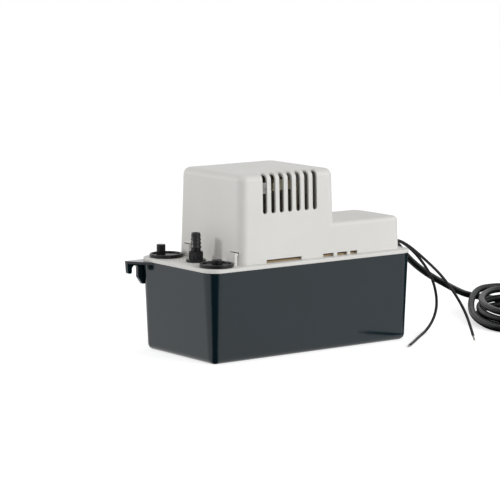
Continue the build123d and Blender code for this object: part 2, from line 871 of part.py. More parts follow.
stack_screw_places = [(motor_x, motor_y - stack_screw_y), (motor_x, motor_y + stack_screw_y)]
with BuildPart() as upper_bracket:
    strap(upper_strap_line, upper_strap_width)
    bearing_hub(upper_top_z)
    through_holes(stack_screw_places, stack_screw_radius + screw_clearance, stack_top_z - 1, upper_top_z - 1)
keep(upper_bracket, "upper_bracket")

with BuildPart() as lower_bracket:
    with BuildSketch(strap_plane):
        for side in (-1, 1):
            with BuildLine():
                outline = Polyline(
                    (0, lower_strap_z),
                    (side * (strap_pad_inner - strap_thickness), lower_strap_z),
                    (side * (strap_pad_inner - strap_thickness), stack_bottom_z),
                    (side * leg_out, stack_bottom_z),
                    (side * leg_out, mat_z + strap_thickness),
                    (side * foot_reach, mat_z + strap_thickness),
                    (side * foot_reach, mat_z),
                    (side * stack_half_width, mat_z),
                    (side * stack_half_width, stack_bottom_z - strap_thickness),
                    (side * strap_pad_inner, stack_bottom_z - strap_thickness),
                    (side * strap_pad_inner, lower_strap_z - strap_thickness),
                    (0, lower_strap_z - strap_thickness),
                    close=True,
                )
            make_face()
    extrude(amount=lower_strap_width / 2, both=True)
    bearing_hub(lower_strap_z - hub_height)
    # The legs are opened below the fan's middle so that air passes.
    for side in (-1, 1):
        with BuildSketch(Plane.XZ.offset(-motor_y - side * (stack_half_width - 1))):
            with Locations((motor_x, (mat_z + stack_bottom_z) / 2)):
                RectangleRounded(leg_window_width, leg_window_height, leg_window_corner)
        extrude(amount=-side * (strap_thickness + 2), mode=Mode.SUBTRACT)
    through_holes(stack_screw_places, stack_screw_radius + screw_clearance, lower_pad_z - 1,
                  stack_bottom_z + 1)
    through_holes(foot_screw_places, foot_screw_radius + screw_clearance, mat_z - 1,
                  mat_z + strap_thickness + 1)
keep(lower_bracket, "lower_bracket")

shaft_bore = shaft_radius + bearing_clearance
upper_bearing_z = upper_top_z
lower_bearing_z = lower_strap_z - hub_height
shaft_top_z = upper_bearing_z + bearing_length
for low_z, label in ((upper_bearing_z, "upper_bearing"), (lower_bearing_z, "lower_bearing")):
    with BuildPart() as bearing:
        with Locations((motor_x, motor_y)):
            rod_between(bearing_outer_radius, low_z, low_z + bearing_length)
            rod_between(shaft_bore, low_z, low_z + bearing_length, Mode.SUBTRACT)
        chamfer(bearing.edges().filter_by(GeomType.CIRCLE).group_by(SortBy.RADIUS)[-1], bearing_chamfer)
    keep(bearing, label)

with BuildPart() as stack_screws:
    with Locations(*stack_screw_places):
        rod_between(stack_screw_radius, lower_pad_z - stack_nut_height, stack_top_z + strap_thickness)
        rod_between(screw_head_radius, stack_top_z + strap_thickness,
                    stack_top_z + strap_thickness + screw_head_height)
    with BuildSketch(Plane.XY.offset(lower_pad_z)):
        with Locations(*stack_screw_places):
            RegularPolygon(screw_head_radius, 6)
    extrude(amount=-stack_nut_height)
keep(stack_screws, "stack_screws")

with BuildPart() as motor_foot_screws:
    with Locations(*foot_screw_places):
        screw_down(mat_z + strap_thickness, foot_screw_length)
keep(motor_foot_screws, "motor_foot_screws")

# ---------------------------------------------------------------- rotor: shaft, core, fan, slinger
rotor_radius = bore_radius - rotor_air_gap
with BuildPart() as motor_shaft:
    with Locations((motor_x, motor_y)):
        rod_between(shaft_radius, shaft_bottom_z, shaft_top_z)
    chamfer(motor_shaft.edges().filter_by(GeomType.CIRCLE), shaft_chamfer)
keep(motor_shaft, "motor_shaft")

with BuildPart() as rotor_core:
    with Locations((motor_x, motor_y)):
        rod_between(rotor_radius, stack_bottom_z, stack_top_z)
        rod_between(rotor_radius - 2, stack_bottom_z - rotor_ring_height, stack_top_z + rotor_ring_height)
        rod_between(shaft_radius, stack_bottom_z - rotor_ring_height, stack_top_z + rotor_ring_height,
                    Mode.SUBTRACT)
keep(rotor_core, "rotor_core")

slinger_z = mat_z + slinger_lift
fan_hub_z = slinger_z + 2 * slinger_thickness + fan_slinger_gap
fan_z = fan_hub_z + fan_hub_drop
fan_height = lower_bearing_z - fan_bearing_gap - fan_z
with BuildPart() as cooling_fan:
    with Locations((motor_x, motor_y)):
        rod_between(fan_radius, fan_z, fan_z + fan_plate)
        rod_between(fan_hub_radius, fan_hub_z, fan_z + fan_height)
    with BuildSketch(Plane.XY.offset(fan_z)):
        with Locations((motor_x, motor_y)):
            with PolarLocations((fan_radius + fan_hub_radius - blade_root_sink) / 2, fan_blades):
                Rectangle(fan_radius - fan_hub_radius, fan_blade, rotation=fan_blade_lean)
            Circle(fan_radius, mode=Mode.INTERSECT)
    extrude(amount=fan_height)
    with Locations((motor_x, motor_y)):
        rod_between(shaft_radius, fan_hub_z, fan_z + fan_height, Mode.SUBTRACT)
keep(cooling_fan, "cooling_fan")

with BuildPart() as shaft_slinger:
    with Locations((motor_x, motor_y)):
        rod_between(slinger_radius, slinger_z, slinger_z + slinger_thickness)
        rod_between(shaft_radius + 2, slinger_z, slinger_z + 2 * slinger_thickness)
        rod_between(shaft_radius, slinger_z, slinger_z + 2 * slinger_thickness, Mode.SUBTRACT)
keep(shaft_slinger, "shaft_slinger")

# ---------------------------------------------------------------- pump head
throat_y = motor_y + scroll_radius + 1.5 * scroll_step
flange_low_z = tank_height - column_flange_thickness
cavity_top_z = volute_top_z - volute_roof
plate_bottom_z = volute_bottom_z - cover_plate_thickness
plate_boss_places = [
    ((scroll_radius + scroll_step * (angle - 90) / 90 + plate_boss_radius) * cos(radians(angle)),
     (scroll_radius + scroll_step * (angle - 90) / 90 + plate_boss_radius) * sin(radians(angle)))
    for angle in plate_boss_angles
]


def scroll(growth):
    """The volute in plan: four quarter arcs about the corners of a small square, each one step wider
    than the one before, closed across the throat. growth widens it all round."""
    half = scroll_step / 2
    with BuildLine() as outline:
        for i, centre in enumerate(((-half, -half), (half, -half), (half, half), (-half, half))):
            CenterArc(centre, scroll_radius + i * scroll_step + growth, 90 + 90 * i, 90)
        Line((-half, scroll_radius - half + growth), (-half, scroll_radius + 3.5 * scroll_step + growth))
    make_face(outline.edges())


def along_x(radius, from_x, to_x, mode=Mode.ADD):
    """A level cylinder of the outlet between two places along X."""
    with BuildSketch(Plane.YZ.offset(from_x)) as bore:
        with Locations((throat_y, outlet_z)):
            Circle(radius)
    extrude(bore.sketch, amount=to_x - from_x, mode=mode)


with BuildPart() as volute_housing:
    with BuildSketch(Plane((motor_x, motor_y, volute_bottom_z))):
        scroll(volute_wall)
        with Locations(*plate_boss_places):
            Circle(plate_boss_radius)
    extrude(amount=volute_top_z - volute_bottom_z)
    along_x(outlet_radius + volute_wall, motor_x, motor_x - scroll_radius)
    along_x(hose_bore_radius, motor_x, outlet_end_x)
    # The column that hangs the volute from the deck, with windows that let water drain back.
    with Locations((motor_x, motor_y)):
        rod_between(column_outer_radius, volute_top_z, tank_height)
        rod_between(column_flange_radius, flange_low_z, tank_height)
        rod_between(column_outer_radius - column_wall, volute_top_z, tank_height, Mode.SUBTRACT)
        rod_between(shaft_radius + shaft_seal_clearance, volute_bottom_z, tank_height, Mode.SUBTRACT)
    for turn in (0, 60, 120):
        with BuildSketch(Plane((motor_x, motor_y, 0), x_dir=(cos(radians(turn)), sin(radians(turn)), 0),
                               z_dir=(sin(radians(turn)), -cos(radians(turn)), 0))):
            with Locations((0, (volute_top_z + flange_low_z) / 2)):
                SlotOverall(column_window_height, column_window_width, rotation=90)
        extrude(amount=column_outer_radius + 1, both=True, mode=Mode.SUBTRACT)
    through_holes(column_screw_places, foot_screw_radius + screw_clearance, flange_low_z - 1,
                  tank_height + 1)
    # The pumping chamber and its outlet.
    with BuildSketch(Plane((motor_x, motor_y, volute_bottom_z))):
        scroll(0)
        with Locations(*plate_boss_places):
            Circle(foot_screw_radius, mode=Mode.ADD)
    extrude(amount=cavity_top_z - volute_bottom_z, mode=Mode.SUBTRACT)
    along_x(hose_bore_radius - hose_spigot_wall, motor_x, outlet_end_x - 1, Mode.SUBTRACT)
    along_x(outlet_radius - outlet_step, motor_x, motor_x - scroll_radius + outlet_reach, Mode.SUBTRACT)
keep(volute_housing, "volute_housing")

with BuildPart() as volute_plate:
    with BuildSketch(Plane((motor_x, motor_y, plate_bottom_z))):
        scroll(volute_wall)
        with Locations(*plate_boss_places):
            Circle(plate_boss_radius)
            Circle(foot_screw_radius + screw_clearance, mode=Mode.SUBTRACT)
        Circle(suction_radius, mode=Mode.SUBTRACT)
    extrude(amount=cover_plate_thickness)
    # Feet and a cross of bars keep debris out of the suction hole.
    with BuildSketch(Plane((motor_x, motor_y, plate_bottom_z))):
        with PolarLocations(suction_radius + 2 * suction_foot_radius, 6):
            Circle(suction_foot_radius)
    extrude(amount=-suction_foot_height)
    with BuildSketch(Plane((motor_x, motor_y, plate_bottom_z))):
        Rectangle(2 * suction_radius + 2, suction_bar)
        Rectangle(suction_bar, 2 * suction_radius + 2)
    extrude(amount=suction_bar)
keep(volute_plate, "volute_plate")

with BuildPart() as plate_screws:
    with Locations(*[(motor_x + x, motor_y + y) for x, y in plate_boss_places]):
        rod_between(plate_boss_radius - screw_head_margin, plate_bottom_z - screw_head_height,
                    plate_bottom_z)
        rod_between(foot_screw_radius - screw_clearance, plate_bottom_z, plate_bottom_z + plate_screw_length)
keep(plate_screws, "plate_screws")

with BuildPart() as column_screws:
    with Locations(*column_screw_places):
        rod_between(screw_head_radius, flange_low_z - screw_head_height, flange_low_z)
        rod_between(foot_screw_radius, flange_low_z, deck_z)
keep(column_screws, "column_screws")

# A backswept vane: an arc from the hub to the rim, thickened to one side.
with BuildSketch() as vane:
    with BuildLine():
        spine = RadiusArc((impeller_hub_radius - blade_root_sink / 2, 0),
                          (impeller_radius * 0.9, impeller_radius * 0.38),
                          impeller_sweep)
        offset(spine, amount=impeller_vane, side=Side.LEFT)
    make_face()
with BuildPart() as impeller:
    with Locations((motor_x, motor_y)):
        rod_between(impeller_radius, impeller_top_z - impeller_plate, impeller_top_z)
        rod_between(impeller_hub_radius, impeller_bottom_z, impeller_top_z)
    with BuildSketch(Plane((motor_x, motor_y, impeller_bottom_z))):
        with PolarLocations(0, impeller_vanes):
            add(vane.sketch)
        Circle(impeller_radius, mode=Mode.INTERSECT)
    extrude(amount=impeller_top_z - impeller_bottom_z)
    with Locations((motor_x, motor_y)):
        rod_between(shaft_radius, impeller_bottom_z - 1, impeller_top_z + 1, Mode.SUBTRACT)
keep(impeller, "impeller")

# ---------------------------------------------------------------- discharge hose and its clips
seat_flange_z = valve_bottom_z - seat_flange_height
hose_start_x = outlet_end_x + hose_grip
hose_points = (
    (hose_start_x, throat_y, outlet_z),
    (valve_x, throat_y, outlet_z),
    (valve_x, valve_y, hose_rise_z),
    (valve_x, valve_y, seat_flange_z),
)
hose_inner = hose_bore_radius + hose_clearance
hose_outer = hose_inner + hose_wall
with BuildPart() as discharge_hose:
    with BuildLine() as hose_path:
        FilletPolyline(*hose_points, radius=hose_bend)
    with BuildSketch(Plane(hose_points[0], z_dir=(-1, 0, 0))):
        Circle(hose_outer)
        Circle(hose_inner, mode=Mode.SUBTRACT)
    sweep()
keep(discharge_hose, "discharge_hose")

with BuildPart() as hose_clips:
    outlet_clip_x = outlet_end_x + hose_grip / 2 + clip_width / 2
    for plane in (Plane((outlet_clip_x, throat_y, outlet_z), z_dir=(-1, 0, 0)),
                  Plane((valve_x, valve_y, seat_flange_z - hose_grip / 2 - clip_width / 2))):
        with BuildSketch(plane):
            Circle(hose_outer + clip_thickness)
            with Locations((hose_outer, 0)):
                Rectangle(clip_ear, clip_thickness * 3)
            Circle(hose_outer, mode=Mode.SUBTRACT)
        extrude(amount=clip_width)
keep(hose_clips, "hose_clips")

# ---------------------------------------------------------------- check valve
valve_flange_z = deck_z + valve_seal_thickness
barb_start_z = valve_tip_z - barb_count * barb_pitch
barb_profile = []
for i in range(barb_count):
    lip = barb_first_radius - i * (barb_first_radius - barb_last_radius) / (barb_count - 1)
    barb_profile += [(lip, barb_start_z + i * barb_pitch),
                     (barb_root_radius, barb_start_z + (i + 1) * barb_pitch)]
valve_plane = Plane((valve_x, valve_y, 0), x_dir=(1, 0, 0), z_dir=(0, -1, 0))
valve_axis = Axis((valve_x, valve_y, 0), (0, 0, 1))
with BuildPart() as valve_body:
    with BuildSketch(valve_plane):
        Polygon(
            (valve_chamber_radius, valve_bottom_z),
            (valve_body_radius, valve_bottom_z),
            (valve_body_radius, valve_flange_z),
            (valve_flange_radius, valve_flange_z),
            (valve_flange_radius, valve_flange_z + valve_flange_thickness),
            (valve_body_radius, valve_flange_z + valve_flange_thickness),
            (valve_body_radius, valve_body_top_z - 1),
            (valve_body_radius - 1, valve_body_top_z),
            (neck_radius, valve_body_top_z),
            (neck_radius, barb_start_z),
            *barb_profile,
            (valve_bore, valve_tip_z),
            (valve_bore, valve_shoulder_z),
            (valve_chamber_radius, valve_shoulder_z),
            align=None,
        )
    revolve(axis=valve_axis)
    with BuildSketch(Plane((valve_x, valve_y, valve_flange_z + valve_flange_thickness))):
        RegularPolygon(valve_hex_radius, 6)
        Circle(valve_chamber_radius + 1, mode=Mode.SUBTRACT)
    extrude(amount=valve_hex_height)
keep(valve_body, "valve_body")

with BuildPart() as valve_seal:
    with Locations((valve_x, valve_y)):
        rod_between(valve_flange_radius - seal_inset, deck_z, valve_flange_z)
        rod_between(valve_body_radius + valve_thread_clearance, deck_z, valve_flange_z, Mode.SUBTRACT)
keep(valve_seal, "valve_seal")

with BuildPart() as valve_nut:
    with BuildSketch(Plane((valve_x, valve_y, tank_height))):
        RegularPolygon(valve_nut_across / 2, 6, major_radius=False)
        Circle(valve_body_radius + valve_thread_clearance, mode=Mode.SUBTRACT)
    extrude(amount=-valve_nut_height)
    with Locations((valve_x, valve_y)):
        rod_between(valve_flange_radius + nut_rim, tank_height - nut_rim_height, tank_height)
        rod_between(valve_body_radius + valve_thread_clearance, tank_height - 2, tank_height, Mode.SUBTRACT)
keep(valve_nut, "valve_nut")

with BuildPart() as valve_seat:
    with Locations((valve_x, valve_y)):
        rod_between(hose_bore_radius, seat_flange_z - hose_grip, seat_flange_z)
        rod_between(valve_body_radius - seat_inset, seat_flange_z, valve_bottom_z)
        rod_between(valve_chamber_radius, valve_bottom_z, valve_bottom_z + seat_plug_height)
        rod_between(hose_bore_radius - hose_spigot_wall, seat_flange_z - hose_grip,
                    valve_bottom_z + seat_plug_height, Mode.SUBTRACT)
keep(valve_seat, "valve_seat")

poppet_z = valve_bottom_z + seat_plug_height + poppet_rest_gap
spring_z = poppet_z + poppet_thickness
with BuildPart() as valve_poppet:
    with Locations((valve_x, valve_y)):
        rod_between(poppet_radius, poppet_z, spring_z)
        rod_between(poppet_stem_radius, spring_z, spring_z + poppet_stem_length)
    fillet(valve_poppet.faces().sort_by(Axis.Z)[-1].edges(), poppet_stem_radius * 0.6)
keep(valve_poppet, "valve_poppet")

spring_height = valve_shoulder_z - spring_z - 2 * (spring_wire + spring_end_gap)
with BuildPart() as valve_spring:
    with BuildLine(Plane((valve_x, valve_y, spring_z + spring_wire + spring_end_gap))):
        spring_line = Helix(spring_height / spring_turns, spring_height, spring_radius)
    with BuildSketch(Plane(spring_line @ 0, z_dir=spring_line % 0)):
        RegularPolygon(spring_wire, 6)
    sweep(is_frenet=True)
keep(valve_spring, "valve_spring")

# ---------------------------------------------------------------- float, its arm and pin
float_top_z = float_bottom_z + float_height
with BuildPart() as float_block:
    with BuildSketch(Plane.XY.offset(float_bottom_z)):
        with Locations((float_centre_x, 0)):
            RectangleRounded(float_length, float_width, 2 * float_round)
    extrude(amount=float_height)
    fillet(float_block.faces().sort_by(Axis.Z)[0].edges(), float_round)
    fillet(float_block.faces().sort_by(Axis.Z)[-1].edges(), float_round * 0.5)
keep(float_block, "float_block")

arm_plate_x = float_centre_x + float_length / 2 - arm_plate_length / 2 - 2 * float_round
with BuildPart() as float_arm:
    with BuildSketch(Plane.XZ.offset(-pivot_y)):
        with Locations((pivot_x, pivot_z)):
            Circle(arm_hub_radius)
        with Locations((arm_plate_x, float_top_z + arm_plate_thickness)):
            Circle(arm_plate_thickness)
        make_hull()
        with Locations((arm_pad_left_x, pivot_z + arm_pad_height)):
            Rectangle(pivot_x - arm_pad_left_x, arm_pad_height + 2, align=(Align.MIN, Align.MAX))
        with Locations((arm_stop_x, pivot_z)):
            Rectangle(arm_stop_width, tank_height - rod_gap - pivot_z, align=(Align.CENTER, Align.MIN))
    extrude(amount=arm_width / 2, both=True)
    with BuildSketch(Plane.XY.offset(float_top_z)):
        with Locations((arm_plate_x, pivot_y + arm_plate_width / 2 - arm_width)):
            RectangleRounded(arm_plate_length, arm_plate_width, 3)
    extrude(amount=arm_plate_thickness)
    with BuildSketch(Plane.XY):
        Rectangle(4 * tank_rim_length, 4 * tank_rim_width)
    extrude(amount=float_top_z, mode=Mode.SUBTRACT)
    with Locations(Location((pivot_x, pivot_y, pivot_z), (90, 0, 0))):
        Cylinder(pivot_radius + pivot_clearance, 2 * arm_width, mode=Mode.SUBTRACT)
keep(float_arm, "float_arm")

with BuildPart() as float_pin:
    with Locations(Location((pivot_x, pivot_y, pivot_z), (90, 0, 0))):
        Cylinder(pivot_radius, 2 * lug_offset + lug_thickness + 2)
keep(float_pin, "float_pin")

# ---------------------------------------------------------------- push rod
rod_bottom_z = pivot_z + arm_pad_height + rod_gap
with BuildPart() as push_rod:
    with Locations((rod_x, pivot_y)):
        rod_between(rod_radius, rod_bottom_z, rod_head_top_z)
    fillet(push_rod.faces().sort_by(Axis.Z)[0].edges(), rod_radius * 0.97)
    with BuildSketch(Plane.XY.offset(rod_head_top_z)):
        with Locations((rod_x, pivot_y)):
            RectangleRounded(rod_head_length, rod_head_width, rod_head_corner)
    extrude(amount=-rod_head_thickness)
keep(push_rod, "push_rod")

# ---------------------------------------------------------------- switches, their plate and screws
switch_right_x = switch_left_x + switch_length
switch_screw_x = [switch_left_x + inset for inset in switch_screw_insets]
switch_screw_z = [switch_bottom_z + lift for lift in switch_screw_lifts]
plate_foot_right_x = plate_left_x + plate_foot_length
plate_top_z = switch_bottom_z + switch_height + plate_above_switch
switch_middle = switch_plate_thickness / 2 + switch_plate_gap + switch_thickness / 2
lever_pivot = (switch_left_x + lever_pivot_inset, switch_bottom_z - lever_pivot_drop)
plunger_x = switch_left_x + plunger_inset
lean = radians(lever_angle)
lever_along = (cos(lean), -sin(lean))
lever_up = (sin(lean), cos(lean))
switch_sides = ((plate_y - switch_middle, "run"), (plate_y + switch_middle, "safety"))


def lever_point(along, up):
    """A point on a switch lever at rest: so far along it from its pivot, and so far above its middle."""
    return (
        lever_pivot[0] + along * lever_along[0] + up * lever_up[0],
        lever_pivot[1] + along * lever_along[1] + up * lever_up[1],
    )


for switch_y, duty in switch_sides:
    switch_plane = Plane.XZ.offset(-switch_y)
    with BuildPart() as switch_case:
        with BuildSketch(switch_plane):
            with Locations((switch_left_x + switch_length / 2, switch_bottom_z + switch_height / 2)):
                RectangleRounded(switch_length, switch_height, switch_corner)
        extrude(amount=switch_thickness / 2, both=True)
        # Cheeks on both sides of the lever carry its pin.
        for side in (-1, 1):
            with BuildSketch(switch_plane.offset(side * (lever_width / 2 + lever_cheek))):
                with Locations(lever_pivot):
                    Circle(lever_cheek_radius)
                    Rectangle(2 * lever_cheek_radius, lever_pivot_drop + 1, align=(Align.CENTER, Align.MIN))
            extrude(amount=lever_cheek / 2, both=True)
        with BuildSketch(switch_plane):
            with Locations(lever_pivot):
                Circle(lever_pin_radius)
            with Locations(*zip(switch_screw_x, switch_screw_z)):
                Circle(switch_screw_radius + screw_clearance)
        extrude(amount=switch_thickness, both=True, mode=Mode.SUBTRACT)
        with Locations((plunger_x, switch_y)):
            rod_between(plunger_radius + plunger_clearance, switch_bottom_z - 1,
                        switch_bottom_z + plunger_length + plunger_room - 1, Mode.SUBTRACT)
    keep(switch_case, duty + "_switch_case")

    with BuildPart() as lever:
        with BuildSketch(switch_plane):
            Polygon(
                lever_point(0, -lever_thickness / 2),
                lever_point(lever_length, -lever_thickness / 2),
                lever_point(lever_length, lever_thickness / 2),
                lever_point(0, lever_thickness / 2),
                align=None,
            )
            with Locations(lever_pivot):
                Circle(lever_eye_radius)
                Circle(lever_pin_radius + lever_pin_clearance, mode=Mode.SUBTRACT)
        extrude(amount=lever_width / 2, both=True)
    keep(lever, duty + "_switch_lever")

    plunger_bottom_z = lever_point(plunger_inset - lever_pivot_inset, lever_thickness / 2)[1] + lever_gap
    with BuildPart() as plunger:
        with Locations((plunger_x, switch_y)):
            rod_between(plunger_radius, plunger_bottom_z, plunger_bottom_z + plunger_length)
        fillet(plunger.faces().sort_by(Axis.Z)[0].edges(), plunger_radius * 0.6)
    keep(plunger, duty + "_switch_plunger")

with BuildPart() as lever_pins:
    for switch_y, duty in switch_sides:
        with BuildSketch(Plane.XZ.offset(-switch_y)):
            with Locations(lever_pivot):
                Circle(lever_pin_radius)
        extrude(amount=lever_width / 2 + 1.5 * lever_cheek, both=True)
keep(lever_pins, "lever_pins")

with BuildPart() as switch_terminals:
    for switch_y, duty in switch_sides:
        for level in (0.25, 0.55, 0.85):
            with Locations((switch_left_x, switch_y, switch_bottom_z + level * switch_height)):
                Box(terminal_length, terminal_width, terminal_thickness,
                    align=(Align.MAX, Align.CENTER, Align.CENTER))
keep(switch_terminals, "switch_terminals")

with BuildPart() as switch_plate:
    with BuildSketch(Plane.XZ.offset(-plate_y)):
        Polygon(
            (plate_left_x, mat_z),
            (plate_foot_right_x, mat_z),
            (plate_foot_right_x, switch_bottom_z),
            (switch_right_x, switch_bottom_z),
            (switch_right_x, plate_top_z),
            (plate_left_x, plate_top_z),
            align=None,
        )
        with Locations(*zip(switch_screw_x, switch_screw_z)):
            Circle(switch_screw_radius + screw_clearance, mode=Mode.SUBTRACT)
    extrude(amount=switch_plate_thickness / 2, both=True)
    with BuildSketch(Plane.XY.offset(mat_z)):
        with Locations((plate_left_x, plate_y - switch_plate_thickness / 2)):
            Rectangle(plate_foot_right_x - plate_left_x, plate_flange_depth, align=Align.MIN)
        with Locations(*flange_screw_places):
            Circle(foot_screw_radius + screw_clearance, mode=Mode.SUBTRACT)
    extrude(amount=switch_plate_thickness)
keep(switch_plate, "switch_plate")

switch_stack = 2 * switch_middle + switch_thickness
with BuildPart() as switch_screws:
    for x, z in zip(switch_screw_x, switch_screw_z):
        for radius, low, high in (
            (switch_screw_radius, -switch_stack / 2 - switch_nut, switch_stack / 2),
            (switch_head_radius, switch_stack / 2, switch_stack / 2 + switch_nut),
            (switch_head_radius, -switch_stack / 2 - switch_nut, -switch_stack / 2),
        ):
            with BuildSketch(Plane.XZ.offset(-plate_y + low)):
                with Locations((x, z)):
                    Circle(radius)
            extrude(amount=high - low)
keep(switch_screws, "switch_screws")

with BuildPart() as plate_foot_screws:
    with Locations(*flange_screw_places):
        screw_down(mat_z + switch_plate_thickness, foot_screw_length - 1)
keep(plate_foot_screws, "plate_foot_screws")

# ---------------------------------------------------------------- strain relief and grommet in the end wall
relief_plane = Plane((0, cord_exit_y, cord_exit_z), x_dir=(1, 0, 0), z_dir=(0, -1, 0))
wall_inside_x = low_right_x - cover_wall - relief_wall_gap
with BuildPart() as strain_relief:
    with BuildSketch(relief_plane):
        Polygon(
            (wall_inside_x - relief_flange_thickness, cord_radius),
            (wall_inside_x - relief_flange_thickness, relief_flange_radius - relief_flange_round),
            (wall_inside_x, relief_flange_radius - relief_flange_round),
            (wall_inside_x, relief_root_radius),
            (low_right_x, relief_root_radius),
            (low_right_x, relief_flange_radius),
            (low_right_x + relief_flange_thickness, relief_flange_radius),
            (low_right_x + relief_flange_thickness, relief_root_radius),
            (low_right_x + relief_length, relief_tip_radius),
            (low_right_x + relief_length, cord_radius + relief_flare),
            (low_right_x + relief_length / 2, cord_radius),
            align=None,
        )
    revolve(axis=Axis((0, cord_exit_y, cord_exit_z), (1, 0, 0)))
keep(strain_relief, "strain_relief")

lead_places = ((lead_exit_y + lead_spacing / 2, lead_exit_z), (lead_exit_y - lead_spacing / 2, lead_exit_z))
with BuildPart() as lead_grommet:
    for low_x, high_x, radius in (
        (wall_inside_x - grommet_lip, wall_inside_x, grommet_radius),
        (wall_inside_x, low_right_x, grommet_radius - grommet_groove),
        (low_right_x, low_right_x + grommet_lip, grommet_radius),
    ):
        with BuildSketch(Plane.YZ.offset(low_x)):
            with Locations((lead_exit_y, lead_exit_z)):
                Circle(radius)
        extrude(amount=high_x - low_x)
    with BuildSketch(Plane.YZ.offset(wall_inside_x - grommet_lip)):
        with Locations(*lead_places):
            Circle(lead_radius)
    extrude(amount=2 * grommet_lip + low_right_x - wall_inside_x, mode=Mode.SUBTRACT)
keep(lead_grommet, "lead_grommet")


# ---------------------------------------------------------------- cords
def cord_corners(points):
    """The radius of each corner of a cord's route: 0.45 of the shorter run over the tangent of half the
    turn, so that the arcs leave each other room."""
    spots = [Vector(*point) for point in points]
    radii = []
    for before, at, after in zip(spots, spots[1:], spots[2:]):
        turn = (at - before).get_angle(after - at)
        radii.append(0.45 * min((at - before).length, (after - at).length) / tan(radians(turn / 2)))
    return radii


def lay_cord(points, radius, label):
    """A round cord along its route, printed with its corner radii so that a tight one shows."""
    radii = cord_corners(points)
    with BuildPart() as cord:
        with BuildLine() as route:
            FilletPolyline(*points, radius=radii)
        with BuildSketch(Plane(route.wire() @ 0, z_dir=route.wire() % 0)):
            Circle(radius)
        sweep()
    length = route.wire().length
    print(label, "corner radii", [round(r, 1) for r in radii], "length", round(length, 1),
          "volume over section times length", round(cord.part.volume / (pi * radius**2 * length), 4))
    keep(cord, label)


lay_cord(power_cord_points, cord_radius, "power_cord")
for number, points in ((1, lead_one_points), (2, lead_two_points)):
    lay_cord(points, lead_radius, f"switch_lead_{number}")
lay_cord(cord_tail_points, cord_radius, "cord_tail")

# The power cord's loose winding, as the closed outer shape of its turns.
coil_plane = Plane((*coil_centre, 0), x_dir=(cos(radians(coil_heading)), sin(radians(coil_heading)), 0))
with BuildPart() as cord_winding:
    with BuildSketch(coil_plane):
        Ellipse(coil_long + coil_ring / 2, coil_short + coil_ring / 2)
        Ellipse(coil_long - coil_ring / 2, coil_short - coil_ring / 2, mode=Mode.SUBTRACT)
    extrude(amount=coil_thickness)
    chamfer(cord_winding.edges().group_by(Axis.Z)[-1], coil_ring * 0.25)
keep(cord_winding, "cord_winding")

with BuildPart() as lead_tips:
    for points in (lead_one_points, lead_two_points):
        heading = Vector(*points[-1]) - Vector(*points[-2])
        with BuildSketch(Plane(points[-1], z_dir=heading)):
            Circle(wire_tip_radius)
        extrude(amount=wire_tip_length)
keep(lead_tips, "lead_tips")

# ---------------------------------------------------------------- plug
plug_heading = Vector(*cord_tail_points[-1]) - Vector(*cord_tail_points[-2])
plug_back = Plane(cord_tail_points[-1], z_dir=plug_heading, x_dir=Vector(0, 0, 1).cross(plug_heading))
with BuildPart() as power_plug:
    with BuildSketch(plug_back):
        Circle(plug_neck_radius)
    with BuildSketch(plug_back.offset(plug_neck_length)):
        RectangleRounded(plug_width * 0.8, plug_thickness * 0.8, plug_corner)
    with BuildSketch(plug_back.offset(plug_neck_length + plug_body_length)):
        RectangleRounded(plug_width, plug_thickness, plug_corner)
    loft(ruled=True)
keep(power_plug, "power_plug")

plug_face = plug_back.offset(plug_neck_length + plug_body_length)
with BuildPart() as plug_pins:
    with BuildSketch(plug_face):
        with Locations((-blade_spacing / 2, blade_shift), (blade_spacing / 2, blade_shift)):
            Rectangle(blade_thickness, blade_width)
        with Locations((0, blade_shift - ground_drop)):
            Circle(ground_radius)
    extrude(amount=blade_length)
keep(plug_pins, "plug_pins")

# ---------------------------------------------------------------- writing the pieces
os.makedirs("parts", exist_ok=True)
for piece in made:
    export_step(piece.part, f"parts/{piece.part.label}.step")
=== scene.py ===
# %% [markdown]
# # A condensate pump: cords, finishes and light
#
# This pump stands below an air conditioner. Water drips into its tank, and the pump lifts it to a
# drain. The rigid pieces come as a CAD model, and each already has its true shape and place. What
# the CAD leaves plain is added here: the cords as they really lie, a spring drawn as a wire of its
# own, and the finish of every piece. Lengths are metres and +Z points up.

# %% Load the frame
import json
import bpy
import numpy as np
from mathutils import Matrix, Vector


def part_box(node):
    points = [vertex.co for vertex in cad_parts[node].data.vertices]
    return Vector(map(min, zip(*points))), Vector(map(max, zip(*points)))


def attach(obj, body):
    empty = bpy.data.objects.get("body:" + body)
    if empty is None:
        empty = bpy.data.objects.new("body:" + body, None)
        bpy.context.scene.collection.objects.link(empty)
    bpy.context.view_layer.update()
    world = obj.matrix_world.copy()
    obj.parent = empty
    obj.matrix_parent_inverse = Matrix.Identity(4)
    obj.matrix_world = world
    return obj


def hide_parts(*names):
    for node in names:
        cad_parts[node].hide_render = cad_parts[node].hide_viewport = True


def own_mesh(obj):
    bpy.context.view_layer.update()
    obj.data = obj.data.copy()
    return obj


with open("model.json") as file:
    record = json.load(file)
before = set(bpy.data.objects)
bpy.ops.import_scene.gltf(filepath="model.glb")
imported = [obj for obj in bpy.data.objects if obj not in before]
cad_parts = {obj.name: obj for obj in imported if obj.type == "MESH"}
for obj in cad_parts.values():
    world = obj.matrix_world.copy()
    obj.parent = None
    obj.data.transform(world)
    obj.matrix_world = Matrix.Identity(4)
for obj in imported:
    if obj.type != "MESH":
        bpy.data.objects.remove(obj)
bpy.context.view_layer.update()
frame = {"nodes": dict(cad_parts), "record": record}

nodes = frame["nodes"]

# %% [markdown]
# ## The camera
#
# A lens of 183 mm stands well back, so parallel edges stay nearly parallel. The camera could be
# aimed with angles, but three unit vectors for its right, up and back say the same with no order
# of turns to remember.

